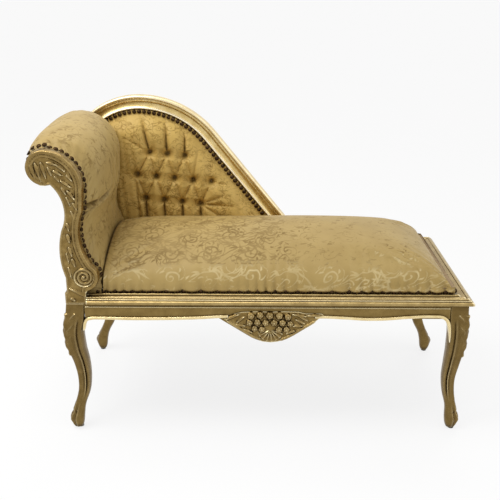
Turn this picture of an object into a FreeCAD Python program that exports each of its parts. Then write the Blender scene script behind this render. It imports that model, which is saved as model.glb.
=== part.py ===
"""Small gilt chaise longue: carved frame, rolled arm, buttoned back and crowned seat.

Millimetres.  The origin is on the floor under the middle of the bounding box, +X runs from the
head end (the arm) to the foot end, +Y from the front to the back and +Z up.
"""
import FreeCAD, Part
import math
import os
import Sketcher
from FreeCAD import Placement, Rotation, Vector

os.makedirs("parts", exist_ok=True)
doc = FreeCAD.newDocument("chaise_longue")

# Driving sizes: name, millimetres (degrees for angles), what it measures
SIZES = [
    ("base_length", 876, "outer faces of the head and foot aprons"),
    ("base_depth", 416, "outer faces of the front and rear aprons"),
    ("nose_overhang", 9.5, "seat rail nose beyond the aprons"),
    ("arm_overhang", 66.3, "fullest part of the arm roll beyond the head apron"),
    ("clearance", 0.3, "gap round soft pieces"),
    ("bore_clearance", 0.1, "gap round dowels and screws"),
    ("leg_height", 313, "floor to the top of the leg blocks and aprons"),
    ("leg_block", 40, "side of the square leg block"),
    ("knee_height", 246, "height of the fullest part of the knee"),
    ("knee_reach", 5, "knee centre outside the block centre"),
    ("knee_width", 44, "width of the knee"),
    ("ankle_height", 122, "height of the thinnest part"),
    ("ankle_setback", 5, "ankle centre inside the block centre"),
    ("ankle_width", 30, "width of the ankle"),
    ("toe_height", 36, "height of the fullest part of the toe"),
    ("toe_reach", 10, "toe centre outside the block centre"),
    ("toe_width", 28, "width of the toe"),
    ("sole_width", 18, "width of the sole"),
    ("rear_splay", 18, "extra outward reach of the rear toes"),
    ("glide_diameter", 13, "foot glide diameter"),
    ("glide_height", 4, "foot glide height"),
    ("apron_height", 33, "height of the aprons"),
    ("apron_thickness", 22, "thickness of the aprons"),
    ("apron_setback", 2, "apron face behind the leg face"),
    ("drop_width", 214, "width of the shaped drop of the front apron"),
    ("drop_depth", 56, "depth of the shaped drop"),
    ("drop_round", 80, "width of its rounded end"),
    ("rail_height", 13, "height of the seat rail moulding"),
    ("rebate_height", 12, "height of the nailing step above it"),
    ("nail_setback", 27, "nailing step behind the apron face"),
    ("lower_bead", 9, "height of the lower bead of the nose"),
    ("upper_bead", 3, "height of the upper bead"),
    ("dowel_diameter", 8, "dowel diameter"),
    ("dowel_length", 40, "dowel length"),
    ("dowel_pitch", 16, "distance between the two dowels of a joint"),
    ("brace_reach", 85, "corner block along each apron from the corner"),
    ("brace_height", 24, "corner block height"),
    ("screw_diameter", 4, "corner block screw diameter"),
    ("screw_length", 33, "length under the head"),
    ("screw_head_diameter", 8, "screw head diameter"),
    ("screw_head_height", 3, "screw head height"),
    ("arm_top", 649, "floor to the top of the scroll"),
    ("scroll_radius", 36, "radius of the scroll"),
    ("scroll_reach", 22, "scroll centre outside the head apron"),
    ("shoulder_reach", 53, "inner shoulder of the arm from the head apron"),
    ("waist_reach", 50, "inner waist of the arm from the head apron"),
    ("volute_radius", 30, "radius of the lower volute"),
    ("volute_reach", 44, "volute centre from the head apron"),
    ("post_base", 46, "width of the foot of the arm post"),
    ("post_inset", 5, "outer edge of the arm post inside the head apron"),
    ("post_thickness", 24, "thickness of the arm post"),
    ("post_proud", 2, "arm post face in front of the apron face"),
    ("core_diameter", 50, "wooden core of the arm roll"),
    ("spigot_diameter", 20, "spigot at each end of the core"),
    ("spigot_length", 12, "spigot length"),
    ("tack_width", 26, "arm tacking rail width"),
    ("tack_height", 30, "arm tacking rail height"),
    ("tack_rise", 89, "arm tacking rail above the rail nose"),
    ("strap_width", 50, "webbing width"),
    ("strap_thickness", 2, "webbing thickness"),
    ("hessian_thickness", 1, "hessian thickness"),
    ("cover_thickness", 2, "damask and its wadding"),
    ("arm_bulge", 30, "fullest inward swell of the arm pad"),
    ("arm_crown", 14, "extra rise of the arm roll in the middle of its length"),
    ("arm_edge", 3, "arm pad proud of the post at its ends"),
    ("arm_foot", 80, "arm pad foot from the head apron"),
    ("seat_crown", 110, "seat crown above the rail nose"),
    ("crest_top", 701, "floor to the top of the crest"),
    ("crest_peak", 119.6, "crest peak from the head apron"),
    ("crest_left_radius", 189, "outer radius left of the peak"),
    ("crest_right_radius", 245, "outer radius right of the peak"),
    ("crest_fall_angle", 51, "slope of the falling part, degrees"),
    ("crest_flare", 110, "radius of the flared tail"),
    ("flare_rise", 45, "start of the flare above the rail nose"),
    ("crest_width", 34, "moulded width of the crest"),
    ("crest_rebate", 12, "nailing step along the inside of the crest"),
    ("crest_thickness", 21, "thickness of the crest"),
    ("tail_peg", 512, "dowel of the crest tail from the head apron"),
    ("back_gap", 8, "back frame behind the nailing step of the rear rail"),
    ("board_thickness", 6, "tufting board thickness"),
    ("pad_depth", 40, "back pad depth"),
    ("pad_rise", 67, "foot of the back pad above the nailing step"),
    ("button_diameter", 14, "covered button diameter"),
    ("button_pitch", 46.5, "button spacing along a row"),
    ("button_row_pitch", 60, "button row spacing"),
    ("button_left", 113.7, "first button of the middle row from the head apron"),
    ("button_rise", 100, "middle row above the foot of the back pad"),
    ("tuft_depth", 20, "depth of a tuft"),
    ("tie_diameter", 2, "button tie diameter"),
    ("nail_diameter", 11.4, "nail head diameter"),
    ("nail_height", 4, "nail head height"),
    ("nail_pitch", 12.4, "nail spacing"),
]

dims = doc.addObject("Spreadsheet::Sheet", "dims")
for row, (name, amount, meaning) in enumerate(SIZES, start=1):
    dims.set(f"A{row}", meaning)
    dims.set(f"B{row}", str(amount))
    dims.setAlias(f"B{row}", name)
doc.recompute()


def size(name):
    """Value of one named cell."""
    return float(dims.get(name))


# Positions that several pieces share, as expressions and as numbers
TOE_OUT = "(dims.toe_reach + dims.rear_splay + dims.toe_width / 2 - dims.leg_block / 2)"
HEAD = f"(dims.arm_overhang - dims.base_length - {TOE_OUT}) / 2"
FOOT = f"(dims.arm_overhang + dims.base_length - {TOE_OUT}) / 2"
FACE = "dims.base_depth / 2"
RAIL_TOP = "dims.leg_height + dims.rail_height"
STEP_TOP = "dims.leg_height + dims.rail_height + dims.rebate_height"
POST_INNER = "(dims.base_depth / 2 + dims.post_proud - dims.post_thickness)"
SCROLL_Z = "(dims.arm_top - dims.scroll_radius)"

toe_out = size("toe_reach") + size("rear_splay") + size("toe_width") / 2 - size("leg_block") / 2
x_head = (size("arm_overhang") - size("base_length") - toe_out) / 2
x_foot = x_head + size("base_length")
y_face = size("base_depth") / 2
z_leg = size("leg_height")
z_rail = z_leg + size("rail_height")
z_step = z_rail + size("rebate_height")
y_post = y_face + size("post_proud") - size("post_thickness")
gap = size("clearance")
nodes = []


def keep(piece, label):
    """Name a finished piece and put it on the list of pieces to write."""
    piece.Label = label
    nodes.append(piece)
    return piece


def bind(piece, **expressions):
    """Tie properties of a piece to expressions; x, y and z are its position."""
    for name, expression in expressions.items():
        target = f"Placement.Base.{name}" if name in ("x", "y", "z") else name
        piece.setExpression(target, expression)
    return piece


def block(name, length, width, height, x, y, z):
    """A rectangular block with every size an expression."""
    piece = doc.addObject("Part::Box", name)
    return bind(piece, Length=length, Width=width, Height=height, x=x, y=y, z=z)


def rod(name, diameter, height, x, y, z, axis=Vector(0, 0, 1)):
    """A cylinder that starts at a point and runs along an axis."""
    piece = doc.addObject("Part::Cylinder", name)
    piece.Placement = Placement(Vector(), Rotation(Vector(0, 0, 1), axis))
    return bind(piece, Radius=f"({diameter}) / 2", Height=height, x=x, y=y, z=z)


def group(name, members):
    """Separate solids that share one piece."""
    piece = doc.addObject("Part::Compound", name)
    piece.Links = members
    return piece


def fuse(name, members):
    """One solid from several."""
    piece = doc.addObject("Part::MultiFuse", name)
    piece.Shapes = members
    return piece


def cut(name, base, tool):
    """A piece with another taken out of it."""
    piece = doc.addObject("Part::Cut", name)
    piece.Base = base
    piece.Tool = tool
    return piece


def plane(body, role):
    """One of the three origin planes of a body."""
    return next(item for item in body.Origin.OriginFeatures if item.Role == role)


def arc_middle(start, end, radius, side):
    """Middle point of the shorter arc between two points, to the left (1) or right (-1) of travel."""
    chord = end - start
    half = chord.Length / 2
    normal = Vector(-chord.y, chord.x, 0).normalize()
    sagitta = radius - math.sqrt(max(radius * radius - half * half, 0))
    return (start + end) * 0.5 + normal * (side * sagitta)


def sketch_outline(body, name, role, offset, corners, arcs=None):
    """Closed outline in a body; corners are pairs of expressions, arcs maps an edge to (radius, side)."""
    arcs = arcs or {}
    sketch = body.newObject("Sketcher::SketchObject", name)
    sketch.AttachmentSupport = [(plane(body, role), "")]
    sketch.MapMode = "FlatFace"
    sketch.setExpression("AttachmentOffset.Base.z", offset)
    points = [Vector(sketch.evalExpression(a), sketch.evalExpression(b), 0) for a, b in corners]
    ends = []
    for index, start in enumerate(points):
        end = points[(index + 1) % len(points)]
        if index in arcs:
            radius, side = arcs[index]
            through = arc_middle(start, end, sketch.evalExpression(radius), side)
            first, last = (end, start) if side > 0 else (start, end)
            edge = sketch.addGeometry(Part.Arc(first, through, last))
            ends.append((edge, 2, 1) if side > 0 else (edge, 1, 2))
        else:
            edge = sketch.addGeometry(Part.LineSegment(start, end))
            ends.append((edge, 1, 2))
    for index, (edge, first, last) in enumerate(ends):
        following, start, _ = ends[(index + 1) % len(ends)]
        sketch.addConstraint(Sketcher.Constraint("Coincident", edge, last, following, start))
    for index, (edge, first, last) in enumerate(ends):
        for kind, value, expression in zip(("DistanceX", "DistanceY"), points[index], corners[index]):
            number = sketch.addConstraint(Sketcher.Constraint(kind, -1, 1, edge, first, value))
            sketch.setExpression(f"Constraints[{number}]", expression)
        if index in arcs:
            radius = sketch.Geometry[edge].Radius
            number = sketch.addConstraint(Sketcher.Constraint("Radius", edge, radius))
            sketch.setExpression(f"Constraints[{number}]", arcs[index][0])
    return sketch


def pad(body, sketch, length):
    """Pad a sketch along the normal of its plane."""
    feature = body.newObject("PartDesign::Pad", sketch.Name + "_pad")
    feature.Profile = sketch
    feature.setExpression("Length", length)
    return feature


def shape_piece(label, shape, collect=True):
    """A piece whose shape is worked out in code from the named sizes."""
    piece = doc.addObject("Part::Feature", label)
    piece.Shape = shape
    return keep(piece, label) if collect else piece


# Legs: a square block, then a cabriole loft from knee to sole
def leg(label, side_x, side_y, splay):
    """One leg; side_x and side_y are +1 or -1 outward."""
    body = doc.addObject("PartDesign::Body", label + "_body")
    outer_x = FOOT if side_x > 0 else HEAD
    middle_x = f"{outer_x} - {side_x} * dims.leg_block / 2"
    middle_y = f"{side_y} * ({FACE} - dims.leg_block / 2)"

    def section(name, height, reach_x, reach_y, width, rounding):
        half = f"({width}) / 2"
        flat = f"({width}) * {0.5 - rounding}"
        cx = f"{middle_x} + {side_x} * ({reach_x})"
        cy = f"{middle_y} + {side_y} * ({reach_y})"
        turns = [(half, f"-{flat}"), (half, flat), (flat, half), (f"-{flat}", half),
                 (f"-{half}", flat), (f"-{half}", f"-{flat}"), (f"-{flat}", f"-{half}"), (flat, f"-{half}")]
        corners = [(f"{cx} + {a}", f"{cy} + {b}") for a, b in turns]
        arcs = {edge: (f"({width}) * {rounding}", -1) for edge in (1, 3, 5, 7)}
        return sketch_outline(body, f"{label}_{name}", "XY_Plane", height, corners, arcs)

    bottom = "dims.leg_height - dims.apron_height"
    pad(body, section("block", bottom, "0", "0", "dims.leg_block", 0.08), "dims.apron_height")
    mean_width = "(dims.knee_width + dims.ankle_width) / 2"
    low_width = "(dims.ankle_width + dims.toe_width) / 2 + 1"
    low_height = "(dims.ankle_height * 0.45 + dims.toe_height * 0.55)"
    reach = f"dims.toe_reach + {splay}"
    inward = "-dims.ankle_setback"
    profiles = [
        section("top", bottom, "0", "0", "dims.leg_block", 0.08),
        section("shoulder", f"({bottom}) * 0.5 + dims.knee_height * 0.5", "dims.knee_reach * 0.6",
                "dims.knee_reach * 0.6", "(dims.leg_block * 0.4 + dims.knee_width * 0.6)", 0.14),
        section("knee", "dims.knee_height", "dims.knee_reach", "dims.knee_reach", "dims.knee_width", 0.2),
        section("calf", "(dims.knee_height * 0.5 + dims.ankle_height * 0.5)",
                f"(dims.knee_reach - dims.ankle_setback) / 2 + ({splay}) * 0.15",
                "(dims.knee_reach - dims.ankle_setback) / 2", mean_width, 0.28),
        section("ankle", "dims.ankle_height", f"{inward} + ({splay}) * 0.45", inward, "dims.ankle_width", 0.32),
        section("shin", low_height, f"{reach} - ({splay}) * 0.2 - 6", "(dims.toe_reach - 10)", low_width, 0.32),
        section("toe", "dims.toe_height", reach, "(dims.toe_reach - 4)", "dims.toe_width", 0.32),
        section("sole", "dims.glide_height", reach, "(dims.toe_reach - 4)", "dims.sole_width", 0.32),
    ]
    loft = body.newObject("PartDesign::AdditiveLoft", label + "_loft")
    loft.Profile = profiles[0]
    loft.Sections = profiles[1:]
    return body


legs = {}
for label, side_x, side_y, splay in (("front_left_leg", -1, -1, "0"), ("front_right_leg", 1, -1, "0"),
                                     ("rear_left_leg", -1, 1, "dims.rear_splay"),
                                     ("rear_right_leg", 1, 1, "dims.rear_splay")):
    legs[label] = (leg(label, side_x, side_y, splay), side_x, side_y, splay)

# Foot glides: one small disc under each sole
glides = []
for label, (_, side_x, side_y, splay) in legs.items():
    outer_x = FOOT if side_x > 0 else HEAD
    glide_x = f"{outer_x} + {side_x} * (dims.toe_reach + {splay} - dims.leg_block / 2)"
    glide_y = f"{side_y} * ({FACE} + dims.toe_reach - 4 - dims.leg_block / 2)"
    glides.append(rod(label + "_glide", "dims.glide_diameter", "dims.glide_height", glide_x, glide_y, "0"))
keep(group("foot_glides", glides), "foot_glides")

# Dowels: two at every joint of an apron and a leg, drawn once as pegs and once as the bores for them
dowels = []
bores = []
for along_x in (True, False):
    for side_x in (-1, 1):
        for side_y in (-1, 1):
            for row in (-1, 1):
                outer_x = FOOT if side_x > 0 else HEAD
                level = f"dims.leg_height - dims.apron_height / 2 + {row} * dims.dowel_pitch / 2"
                inset = "(dims.apron_setback + dims.apron_thickness / 2)"
                if along_x:
                    x = f"{outer_x} - {side_x} * dims.leg_block - dims.dowel_length / 2"
                    y = f"{side_y} * ({FACE} - {inset})"
                    axis = Vector(1, 0, 0)
                else:
                    x = f"{outer_x} - {side_x} * ({inset})"
                    y = f"{side_y} * ({FACE} - dims.leg_block) - dims.dowel_length / 2"
                    axis = Vector(0, 1, 0)
                name = f"dowel_{len(dowels) + 1}"
                dowels.append(rod(name, "dims.dowel_diameter", "dims.dowel_length", x, y, level, axis))
                wide = "dims.dowel_diameter + 2 * dims.bore_clearance"
                bores.append(rod(name + "_bore", wide, "dims.dowel_length", x, y, level, axis))
keep(group("leg_dowels", dowels), "leg_dowels")
dowel_bores = group("dowel_bores", bores)

# Upright dowels: one from each leg block of the head end into the arm post above it
post_pegs = []
post_bores = []
for side_y in (-1, 1):
    x = f"{HEAD} + dims.leg_block * 0.65"
    y = f"{side_y} * ({FACE} - dims.leg_block * 0.65)"
    z = "dims.leg_height - dims.dowel_length * 0.3"
    tall = "dims.dowel_length * 0.75"
    name = "post_dowel_front" if side_y < 0 else "post_dowel_rear"
    post_pegs.append(rod(name, "dims.dowel_diameter", tall, x, y, z))
    wide = "dims.dowel_diameter + 2 * dims.bore_clearance"
    post_bores.append(rod(name + "_bore", wide, tall, x, y, z))
keep(group("post_dowels", post_pegs), "post_dowels")
post_bore_group = group("post_bores", post_bores)
frame_bores = group("frame_bores", [dowel_bores, post_bore_group])

for label, (body, _, _, _) in legs.items():
    keep(cut(label + "_bored", body, frame_bores), label)

# Corner blocks: notched round the leg blocks and screwed to the aprons
braces = []
screws = []
screw_bores = []
for side_x in (-1, 1):
    for side_y in (-1, 1):
        outer_x = FOOT if side_x > 0 else HEAD
        name = f"brace_{len(braces) + 1}"
        body = doc.addObject("PartDesign::Body", name)
        inner = "(dims.apron_setback + dims.apron_thickness)"
        plan = [(inner, "dims.brace_reach"), (inner, "dims.leg_block"), ("dims.leg_block", "dims.leg_block"),
                ("dims.leg_block", inner), ("dims.brace_reach", inner)]
        corners = [(f"{outer_x} - {side_x} * ({a})", f"{side_y} * ({FACE} - ({b}))") for a, b in plan]
        low = "dims.leg_height - dims.brace_height - 2"
        pad(body, sketch_outline(body, name + "_plan", "XY_Plane", low, corners), "dims.brace_height")
        braces.append(body)
        level = "dims.leg_height - dims.brace_height / 2 - 2"
        seat = "(dims.apron_setback + dims.apron_thickness + 18)"
        station = "(dims.brace_reach - 22)"
        for along_x in (True, False):
            if along_x:
                x, y = f"{outer_x} - {side_x} * {seat}", f"{side_y} * ({FACE} - {station})"
                axis = Vector(side_x, 0, 0)
            else:
                x, y = f"{outer_x} - {side_x} * {station}", f"{side_y} * ({FACE} - {seat})"
                axis = Vector(0, side_y, 0)
            number = len(screws) + 1
            shank = rod(f"screw_{number}_shank", "dims.screw_diameter", "dims.screw_length", x, y, level, axis)
            head = rod(f"screw_{number}_head", "dims.screw_head_diameter", "dims.screw_head_height",
                       x, y, level, axis * -1)
            screws.append(fuse(f"screw_{number}", [shank, head]))
            wide = "dims.screw_diameter + 2 * dims.bore_clearance"
            hole = rod(f"screw_{number}_hole", wide, "dims.screw_length", x, y, level, axis)
            sink = rod(f"screw_{number}_sink", "dims.screw_head_diameter + 2 * dims.bore_clearance",
                       "dims.brace_reach", x, y, level, axis * -1)
            screw_bores.extend([hole, sink])
keep(group("corner_block_screws", screws), "corner_block_screws")
screw_bore_group = group("screw_bores", screw_bores)
keep(cut("corner_blocks", group("corner_blocks_plain", braces), screw_bore_group), "corner_blocks")
apron_bores = group("apron_bores", [dowel_bores, screw_bore_group])

# Aprons: boards between the leg blocks; the front one has a shaped drop in the middle
front = doc.addObject("PartDesign::Body", "apron_front_body")
left = f"{HEAD} + dims.leg_block"
right = f"{FOOT} - dims.leg_block"
middle = f"({HEAD} + {FOOT}) / 2"
low = "dims.leg_height - dims.apron_height"
round_z = f"{low} - dims.drop_depth * 0.78"
corners = [(left, "dims.leg_height"), (left, low), (f"{middle} - dims.drop_width / 2", low),
           (f"{middle} - dims.drop_round / 2", round_z), (f"{middle} + dims.drop_round / 2", round_z),
           (f"{middle} + dims.drop_width / 2", low), (right, low), (right, "dims.leg_height")]
round_radius = "((dims.drop_round / 2)^2 + (dims.drop_depth * 0.22)^2) / (dims.drop_depth * 0.44)"
outline = sketch_outline(front, "apron_front_outline", "XZ_Plane",
                         f"{FACE} - dims.apron_setback - dims.apron_thickness", corners, {3: (round_radius, -1)})
pad(front, outline, "dims.apron_thickness")
rear = block("apron_rear_board", f"dims.base_length - 2 * dims.leg_block", "dims.apron_thickness",
             "dims.apron_height", left, f"{FACE} - dims.apron_setback - dims.apron_thickness", low)
across = "dims.base_depth - 2 * dims.leg_block"
foot = block("apron_foot_board", "dims.apron_thickness", across, "dims.apron_height",
             f"{FOOT} - dims.apron_setback - dims.apron_thickness", f"dims.leg_block - {FACE}", low)
head = block("apron_head_board", "dims.apron_thickness", across, "dims.apron_height",
             f"{HEAD} + dims.apron_setback", f"dims.leg_block - {FACE}", low)
for label, board in (("apron_front", front), ("apron_rear", rear), ("apron_foot", foot), ("apron_head", head)):
    keep(cut(label + "_bored", board, apron_bores), label)

# Apron cartouche: a low shield with a cluster of blossoms, planted on the front apron
x_middle = (x_head + x_foot) / 2
face_y = -y_face + size("apron_setback")
drop = size("drop_depth")
shield_top = z_leg - size("apron_height") * 0.55
shield_low = z_leg - size("apron_height") - drop * 0.94
shield_half = size("drop_width") * 0.42
shield = Part.Wire([
    Part.Arc(Vector(x_middle - shield_half, face_y, shield_top - 8), Vector(x_middle, face_y, shield_top + 2),
             Vector(x_middle + shield_half, face_y, shield_top - 8)).toShape(),
    Part.Arc(Vector(x_middle + shield_half, face_y, shield_top - 8), Vector(x_middle, face_y, shield_low),
             Vector(x_middle - shield_half, face_y, shield_top - 8)).toShape()])
cartouche = Part.Face(shield).extrude(Vector(0, -3, 0))
blossom = drop * 0.17
for row, (count, share) in enumerate(((5, 0.12), (4, 0.36), (3, 0.58), (2, 0.78))):
    for column in range(count):
        x = x_middle + (column - (count - 1) / 2) * 2 * blossom
        z = shield_top - share * (shield_top - shield_low)
        flower = Part.makeSphere(blossom * 0.95, Vector(x, face_y - 3 + blossom * 0.45, z))
        front_half = Part.makeBox(400, blossom, 200, Vector(x - 200, face_y - 2.5 - blossom, z - 100))
        cartouche = cartouche.fuse(flower.common(front_half))
shape_piece("apron_cartouche", cartouche)


# Seat rails: one moulded section, mitred at the foot end
def rail_section(body, name, role, offset, across):
    """Nose, two beads, a cove, a flat and the nailing step; across maps an outward distance to sketch x."""
    base = "dims.leg_height"
    lower = "(dims.nose_overhang - dims.lower_bead / 2)"
    upper = f"({lower} - 2)"
    levels = [("-dims.leg_block", base), (lower, base), (lower, f"{base} + dims.lower_bead"),
              (upper, f"{base} + dims.lower_bead"), (upper, f"{base} + dims.lower_bead + dims.upper_bead"),
              ("-3", f"{base} + dims.lower_bead + dims.upper_bead"), ("-5", RAIL_TOP),
              ("-dims.nail_setback", RAIL_TOP), ("-dims.nail_setback", STEP_TOP), ("-dims.leg_block", STEP_TOP)]
    corners = [(across(out), height) for out, height in levels]
    turn = 1 if body.evalExpression(across("1")) < body.evalExpression(across("0")) else -1
    arcs = {1: ("dims.lower_bead * 0.502", turn), 3: ("dims.upper_bead * 0.52", turn),
            5: ("dims.rail_height * 0.4", -turn)}
    return sketch_outline(body, name, role, offset, corners, arcs)


post_edge = f"{HEAD} + dims.post_base"
mitred = {}
for label, side in (("front", -1), ("rear", 1)):
    body = doc.addObject("PartDesign::Body", f"seat_rail_{label}_body")
    section = rail_section(body, f"rail_{label}_section", "YZ_Plane", post_edge,
                           lambda out, side=side: f"{side} * ({FACE} + {out})")
    pad(body, section, f"{FOOT} + dims.nose_overhang - ({post_edge})")
    mitred[label] = body
body = doc.addObject("PartDesign::Body", "seat_rail_foot_body")
section = rail_section(body, "rail_foot_section", "XZ_Plane", f"-({FACE} + dims.nose_overhang)",
                       lambda out: f"{FOOT} + {out}")
pad(body, section, "dims.base_depth + 2 * dims.nose_overhang")
mitred["foot"] = body

# Mitre tools: blocks turned to lie along the 45 degree lines of the two foot end corners
def mitre(name, base, side_y, shift, angle):
    """Base cut along one mitre line; shift slides the tool along the line, outward positive."""
    tool = block(name + "_tool", "4 * dims.leg_block", "4 * dims.leg_block", "dims.leg_height",
                 f"{FOOT} + dims.nose_overhang + ({shift})",
                 f"{side_y} * ({FACE} + dims.nose_overhang + ({shift}))", "dims.leg_height - 1")
    tool.Placement.Rotation = Rotation(Vector(0, 0, 1), angle)
    return cut(name, base, tool)


inside = "-2.5 * dims.leg_block"
outside = "dims.leg_block / 2"
rail_front = mitre("rail_front_mitred", mitred["front"], -1, outside, 45)
rail_rear = mitre("rail_rear_mitred", mitred["rear"], 1, inside, -45)
BACK = f"({FACE} - dims.nail_setback + dims.back_gap)"
peg_place = (f"{HEAD} + dims.tail_peg", f"{BACK} + dims.crest_thickness / 2", "dims.leg_height + dims.rail_height * 0.4",
             Vector(0, 0, 1))
peg = keep(rod("crest_dowel", "dims.dowel_diameter", "dims.dowel_length / 2", *peg_place), "crest_dowel")
peg_bore = rod("crest_dowel_bore", "dims.dowel_diameter + 2 * dims.bore_clearance", "dims.dowel_length / 2",
               *peg_place)
rail_rear = cut("rail_rear_bored", rail_rear, peg_bore)
rail_foot = mitre("rail_foot_half", mitred["foot"], -1, inside, 225)
rail_foot = mitre("rail_foot_mitred", rail_foot, 1, outside, 135)
keep(rail_front, "seat_rail_front")
keep(rail_rear, "seat_rail_rear")
keep(rail_foot, "seat_rail_foot")
head_inset = "(dims.post_inset + dims.cover_thickness + 2)"
keep(block("seat_rail_head", f"dims.leg_block - {head_inset}", "dims.base_depth - 2 * dims.leg_block",
           "dims.rail_height + dims.rebate_height", f"{HEAD} + {head_inset}", f"dims.leg_block - {FACE}",
           "dims.leg_height"), "seat_rail_head")

# Arm posts: an S outline from the leg block to the scroll, with a block behind its foot
RISE = "(dims.arm_top - dims.leg_height)"


def arm_post(label, side_y):
    """One arm post; the face is outward on its own side."""
    body = doc.addObject("PartDesign::Body", label)
    scroll = "-dims.scroll_reach"
    bottom = f"{SCROLL_Z} - dims.scroll_radius * 0.96"
    volute = f"({STEP_TOP} + dims.volute_radius * 1.17)"
    levels = [
        ("dims.post_inset", "dims.leg_height"),
        ("dims.post_inset", f"dims.leg_height + {RISE} * 0.18"),
        ("dims.post_inset - 1", f"dims.leg_height + {RISE} * 0.5"),
        (f"{scroll} + dims.scroll_radius * 0.28", bottom),
        (f"{scroll} - dims.scroll_radius", SCROLL_Z),
        (scroll, "dims.arm_top"),
        ("dims.shoulder_reach", f"dims.leg_height + {RISE} * 0.77"),
        ("dims.waist_reach", f"dims.leg_height + {RISE} * 0.62"),
        ("dims.volute_reach + dims.volute_radius * 0.545", f"{volute} + dims.volute_radius * 0.839"),
        ("dims.volute_reach + dims.volute_radius * 0.208", f"{volute} - dims.volute_radius * 0.978"),
        ("dims.post_base", STEP_TOP),
        ("dims.post_base", "dims.leg_height"),
    ]
    corners = [(f"{HEAD} + {a}", b) for a, b in levels]
    arcs = {1: (f"{RISE} * 0.524", 1), 2: (f"{RISE} * 0.254", -1), 3: ("dims.scroll_radius * 1.0005", 1),
            4: ("dims.scroll_radius * 1.0005", 1), 5: (f"{RISE} * 0.24", 1), 7: (f"{RISE} * 0.38", -1),
            8: ("dims.volute_radius * 1.0005", 1)}
    face = f"{FACE} + dims.post_proud"
    facing_from = f"{face} - dims.post_thickness" if side_y < 0 else f"-({face})"
    pad(body, sketch_outline(body, label + "_outline", "XZ_Plane", facing_from, corners, arcs), "dims.post_thickness")
    foot_from = f"{FACE} - dims.leg_block" if side_y < 0 else f"-({FACE})"
    foot = [(HEAD, "dims.leg_height"), (post_edge, "dims.leg_height"), (post_edge, STEP_TOP), (HEAD, STEP_TOP)]
    pad(body, sketch_outline(body, label + "_foot", "XZ_Plane", foot_from, foot), "dims.leg_block")
    return body


core_x = f"{HEAD} - dims.scroll_reach"
core_half = f"({POST_INNER} - dims.bore_clearance)"
core = rod("core_body", "dims.core_diameter", f"2 * {core_half}", core_x, f"-{core_half}", SCROLL_Z, Vector(0, 1, 0))
spigot_half = f"({POST_INNER} + dims.spigot_length)"
spigot = rod("core_spigot", "dims.spigot_diameter", f"2 * {spigot_half}", core_x, f"-{spigot_half}", SCROLL_Z,
             Vector(0, 1, 0))
keep(fuse("arm_roll_core", [core, spigot]), "arm_roll_core")
spigot_bore = rod("spigot_bore", "dims.spigot_diameter + 2 * dims.bore_clearance",
                  f"2 * ({spigot_half} + dims.bore_clearance)", core_x, f"-({spigot_half} + dims.bore_clearance)",
                  SCROLL_Z, Vector(0, 1, 0))
post_tools = group("post_tools", [spigot_bore, post_bore_group])
post_front = keep(cut("arm_post_front_bored", arm_post("arm_post_front_body", -1), post_tools), "arm_post_front")
post_rear = keep(cut("arm_post_rear_bored", arm_post("arm_post_rear_body", 1), post_tools), "arm_post_rear")

# Arm tacking rail between the posts, behind the webbing
tack = keep(block("arm_tack_rail", "dims.tack_width", f"2 * {POST_INNER}", "dims.tack_height",
                  f"{HEAD} + dims.post_inset - 1", f"-{POST_INNER}", f"{RAIL_TOP} + dims.tack_rise"), "arm_tack_rail")
doc.recompute()

# Arm webbing: four upright straps from the roll core down to the tacking rail
z_scroll = size("arm_top") - size("scroll_radius")
u_core = -size("scroll_reach") + size("core_diameter") / 2
strap = size("strap_thickness")
block_u = size("leg_block")
u_tack = size("post_inset") - 1 + size("tack_width")
z_tack = z_rail + size("tack_rise")
tack_top = z_tack + size("tack_height")
strap_side = [(u_core, z_scroll), (u_core + strap, z_scroll), (u_tack + strap, tack_top), (u_tack + strap, z_tack),
              (u_tack, z_tack), (u_tack, tack_top)]
straps = []
strap_count = 4
for index in range(strap_count):
    y = (index - (strap_count - 1) / 2) * (2 * y_post / (strap_count + 0.4)) - size("strap_width") / 2
    side = Part.makePolygon([Vector(x_head + u, y, z) for u, z in strap_side + strap_side[:1]])
    straps.append(Part.Face(side).extrude(Vector(0, size("strap_width"), 0)))
shape_piece("arm_webbing", Part.makeCompound(straps))


# Arm pad: sections across the arm that swell towards the middle of its length
def arm_points(swell, inset):
    """Key points of the pad outline, from under the roll over the top to the seat."""
    roll = size("scroll_radius") + size("arm_edge")
    roll += (size("arm_overhang") - size("scroll_reach") - roll) * swell - inset
    inner = size("arm_edge") + (size("arm_bulge") - size("arm_edge")) * swell - inset
    rise = size("arm_top") - z_leg
    u = -size("scroll_reach")
    foot_u = size("arm_foot") - gap - inset
    return roll, [(u, z_scroll - roll), (u - roll, z_scroll), (u, z_scroll + roll + size("arm_crown") * swell),
                  (size("shoulder_reach") + inner, z_leg + rise * 0.77),
                  (size("waist_reach") + inner, z_leg + rise * 0.62),
                  (foot_u - 6, z_step + size("arm_foot") * 0.8 - inset), (foot_u, z_step + size("arm_foot") * 0.4),
                  (foot_u, z_step + size("arm_foot") * 0.1)]


def flat_arc(start, end, radius, side, y):
    """Arc in a plane across the arm between two (u, z) points."""
    a = Vector(start[0], start[1], 0)
    b = Vector(end[0], end[1], 0)
    m = arc_middle(a, b, radius, side)
    points = [Vector(x_head + p.x, y, p.y) for p in (a, m, b)]
    return Part.Arc(*points).toShape()


def flat_line(start, end, y):
    """Line in a plane across the arm between two (u, z) points."""
    return Part.LineSegment(Vector(x_head + start[0], y, start[1]), Vector(x_head + end[0], y, end[1])).toShape()


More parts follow.
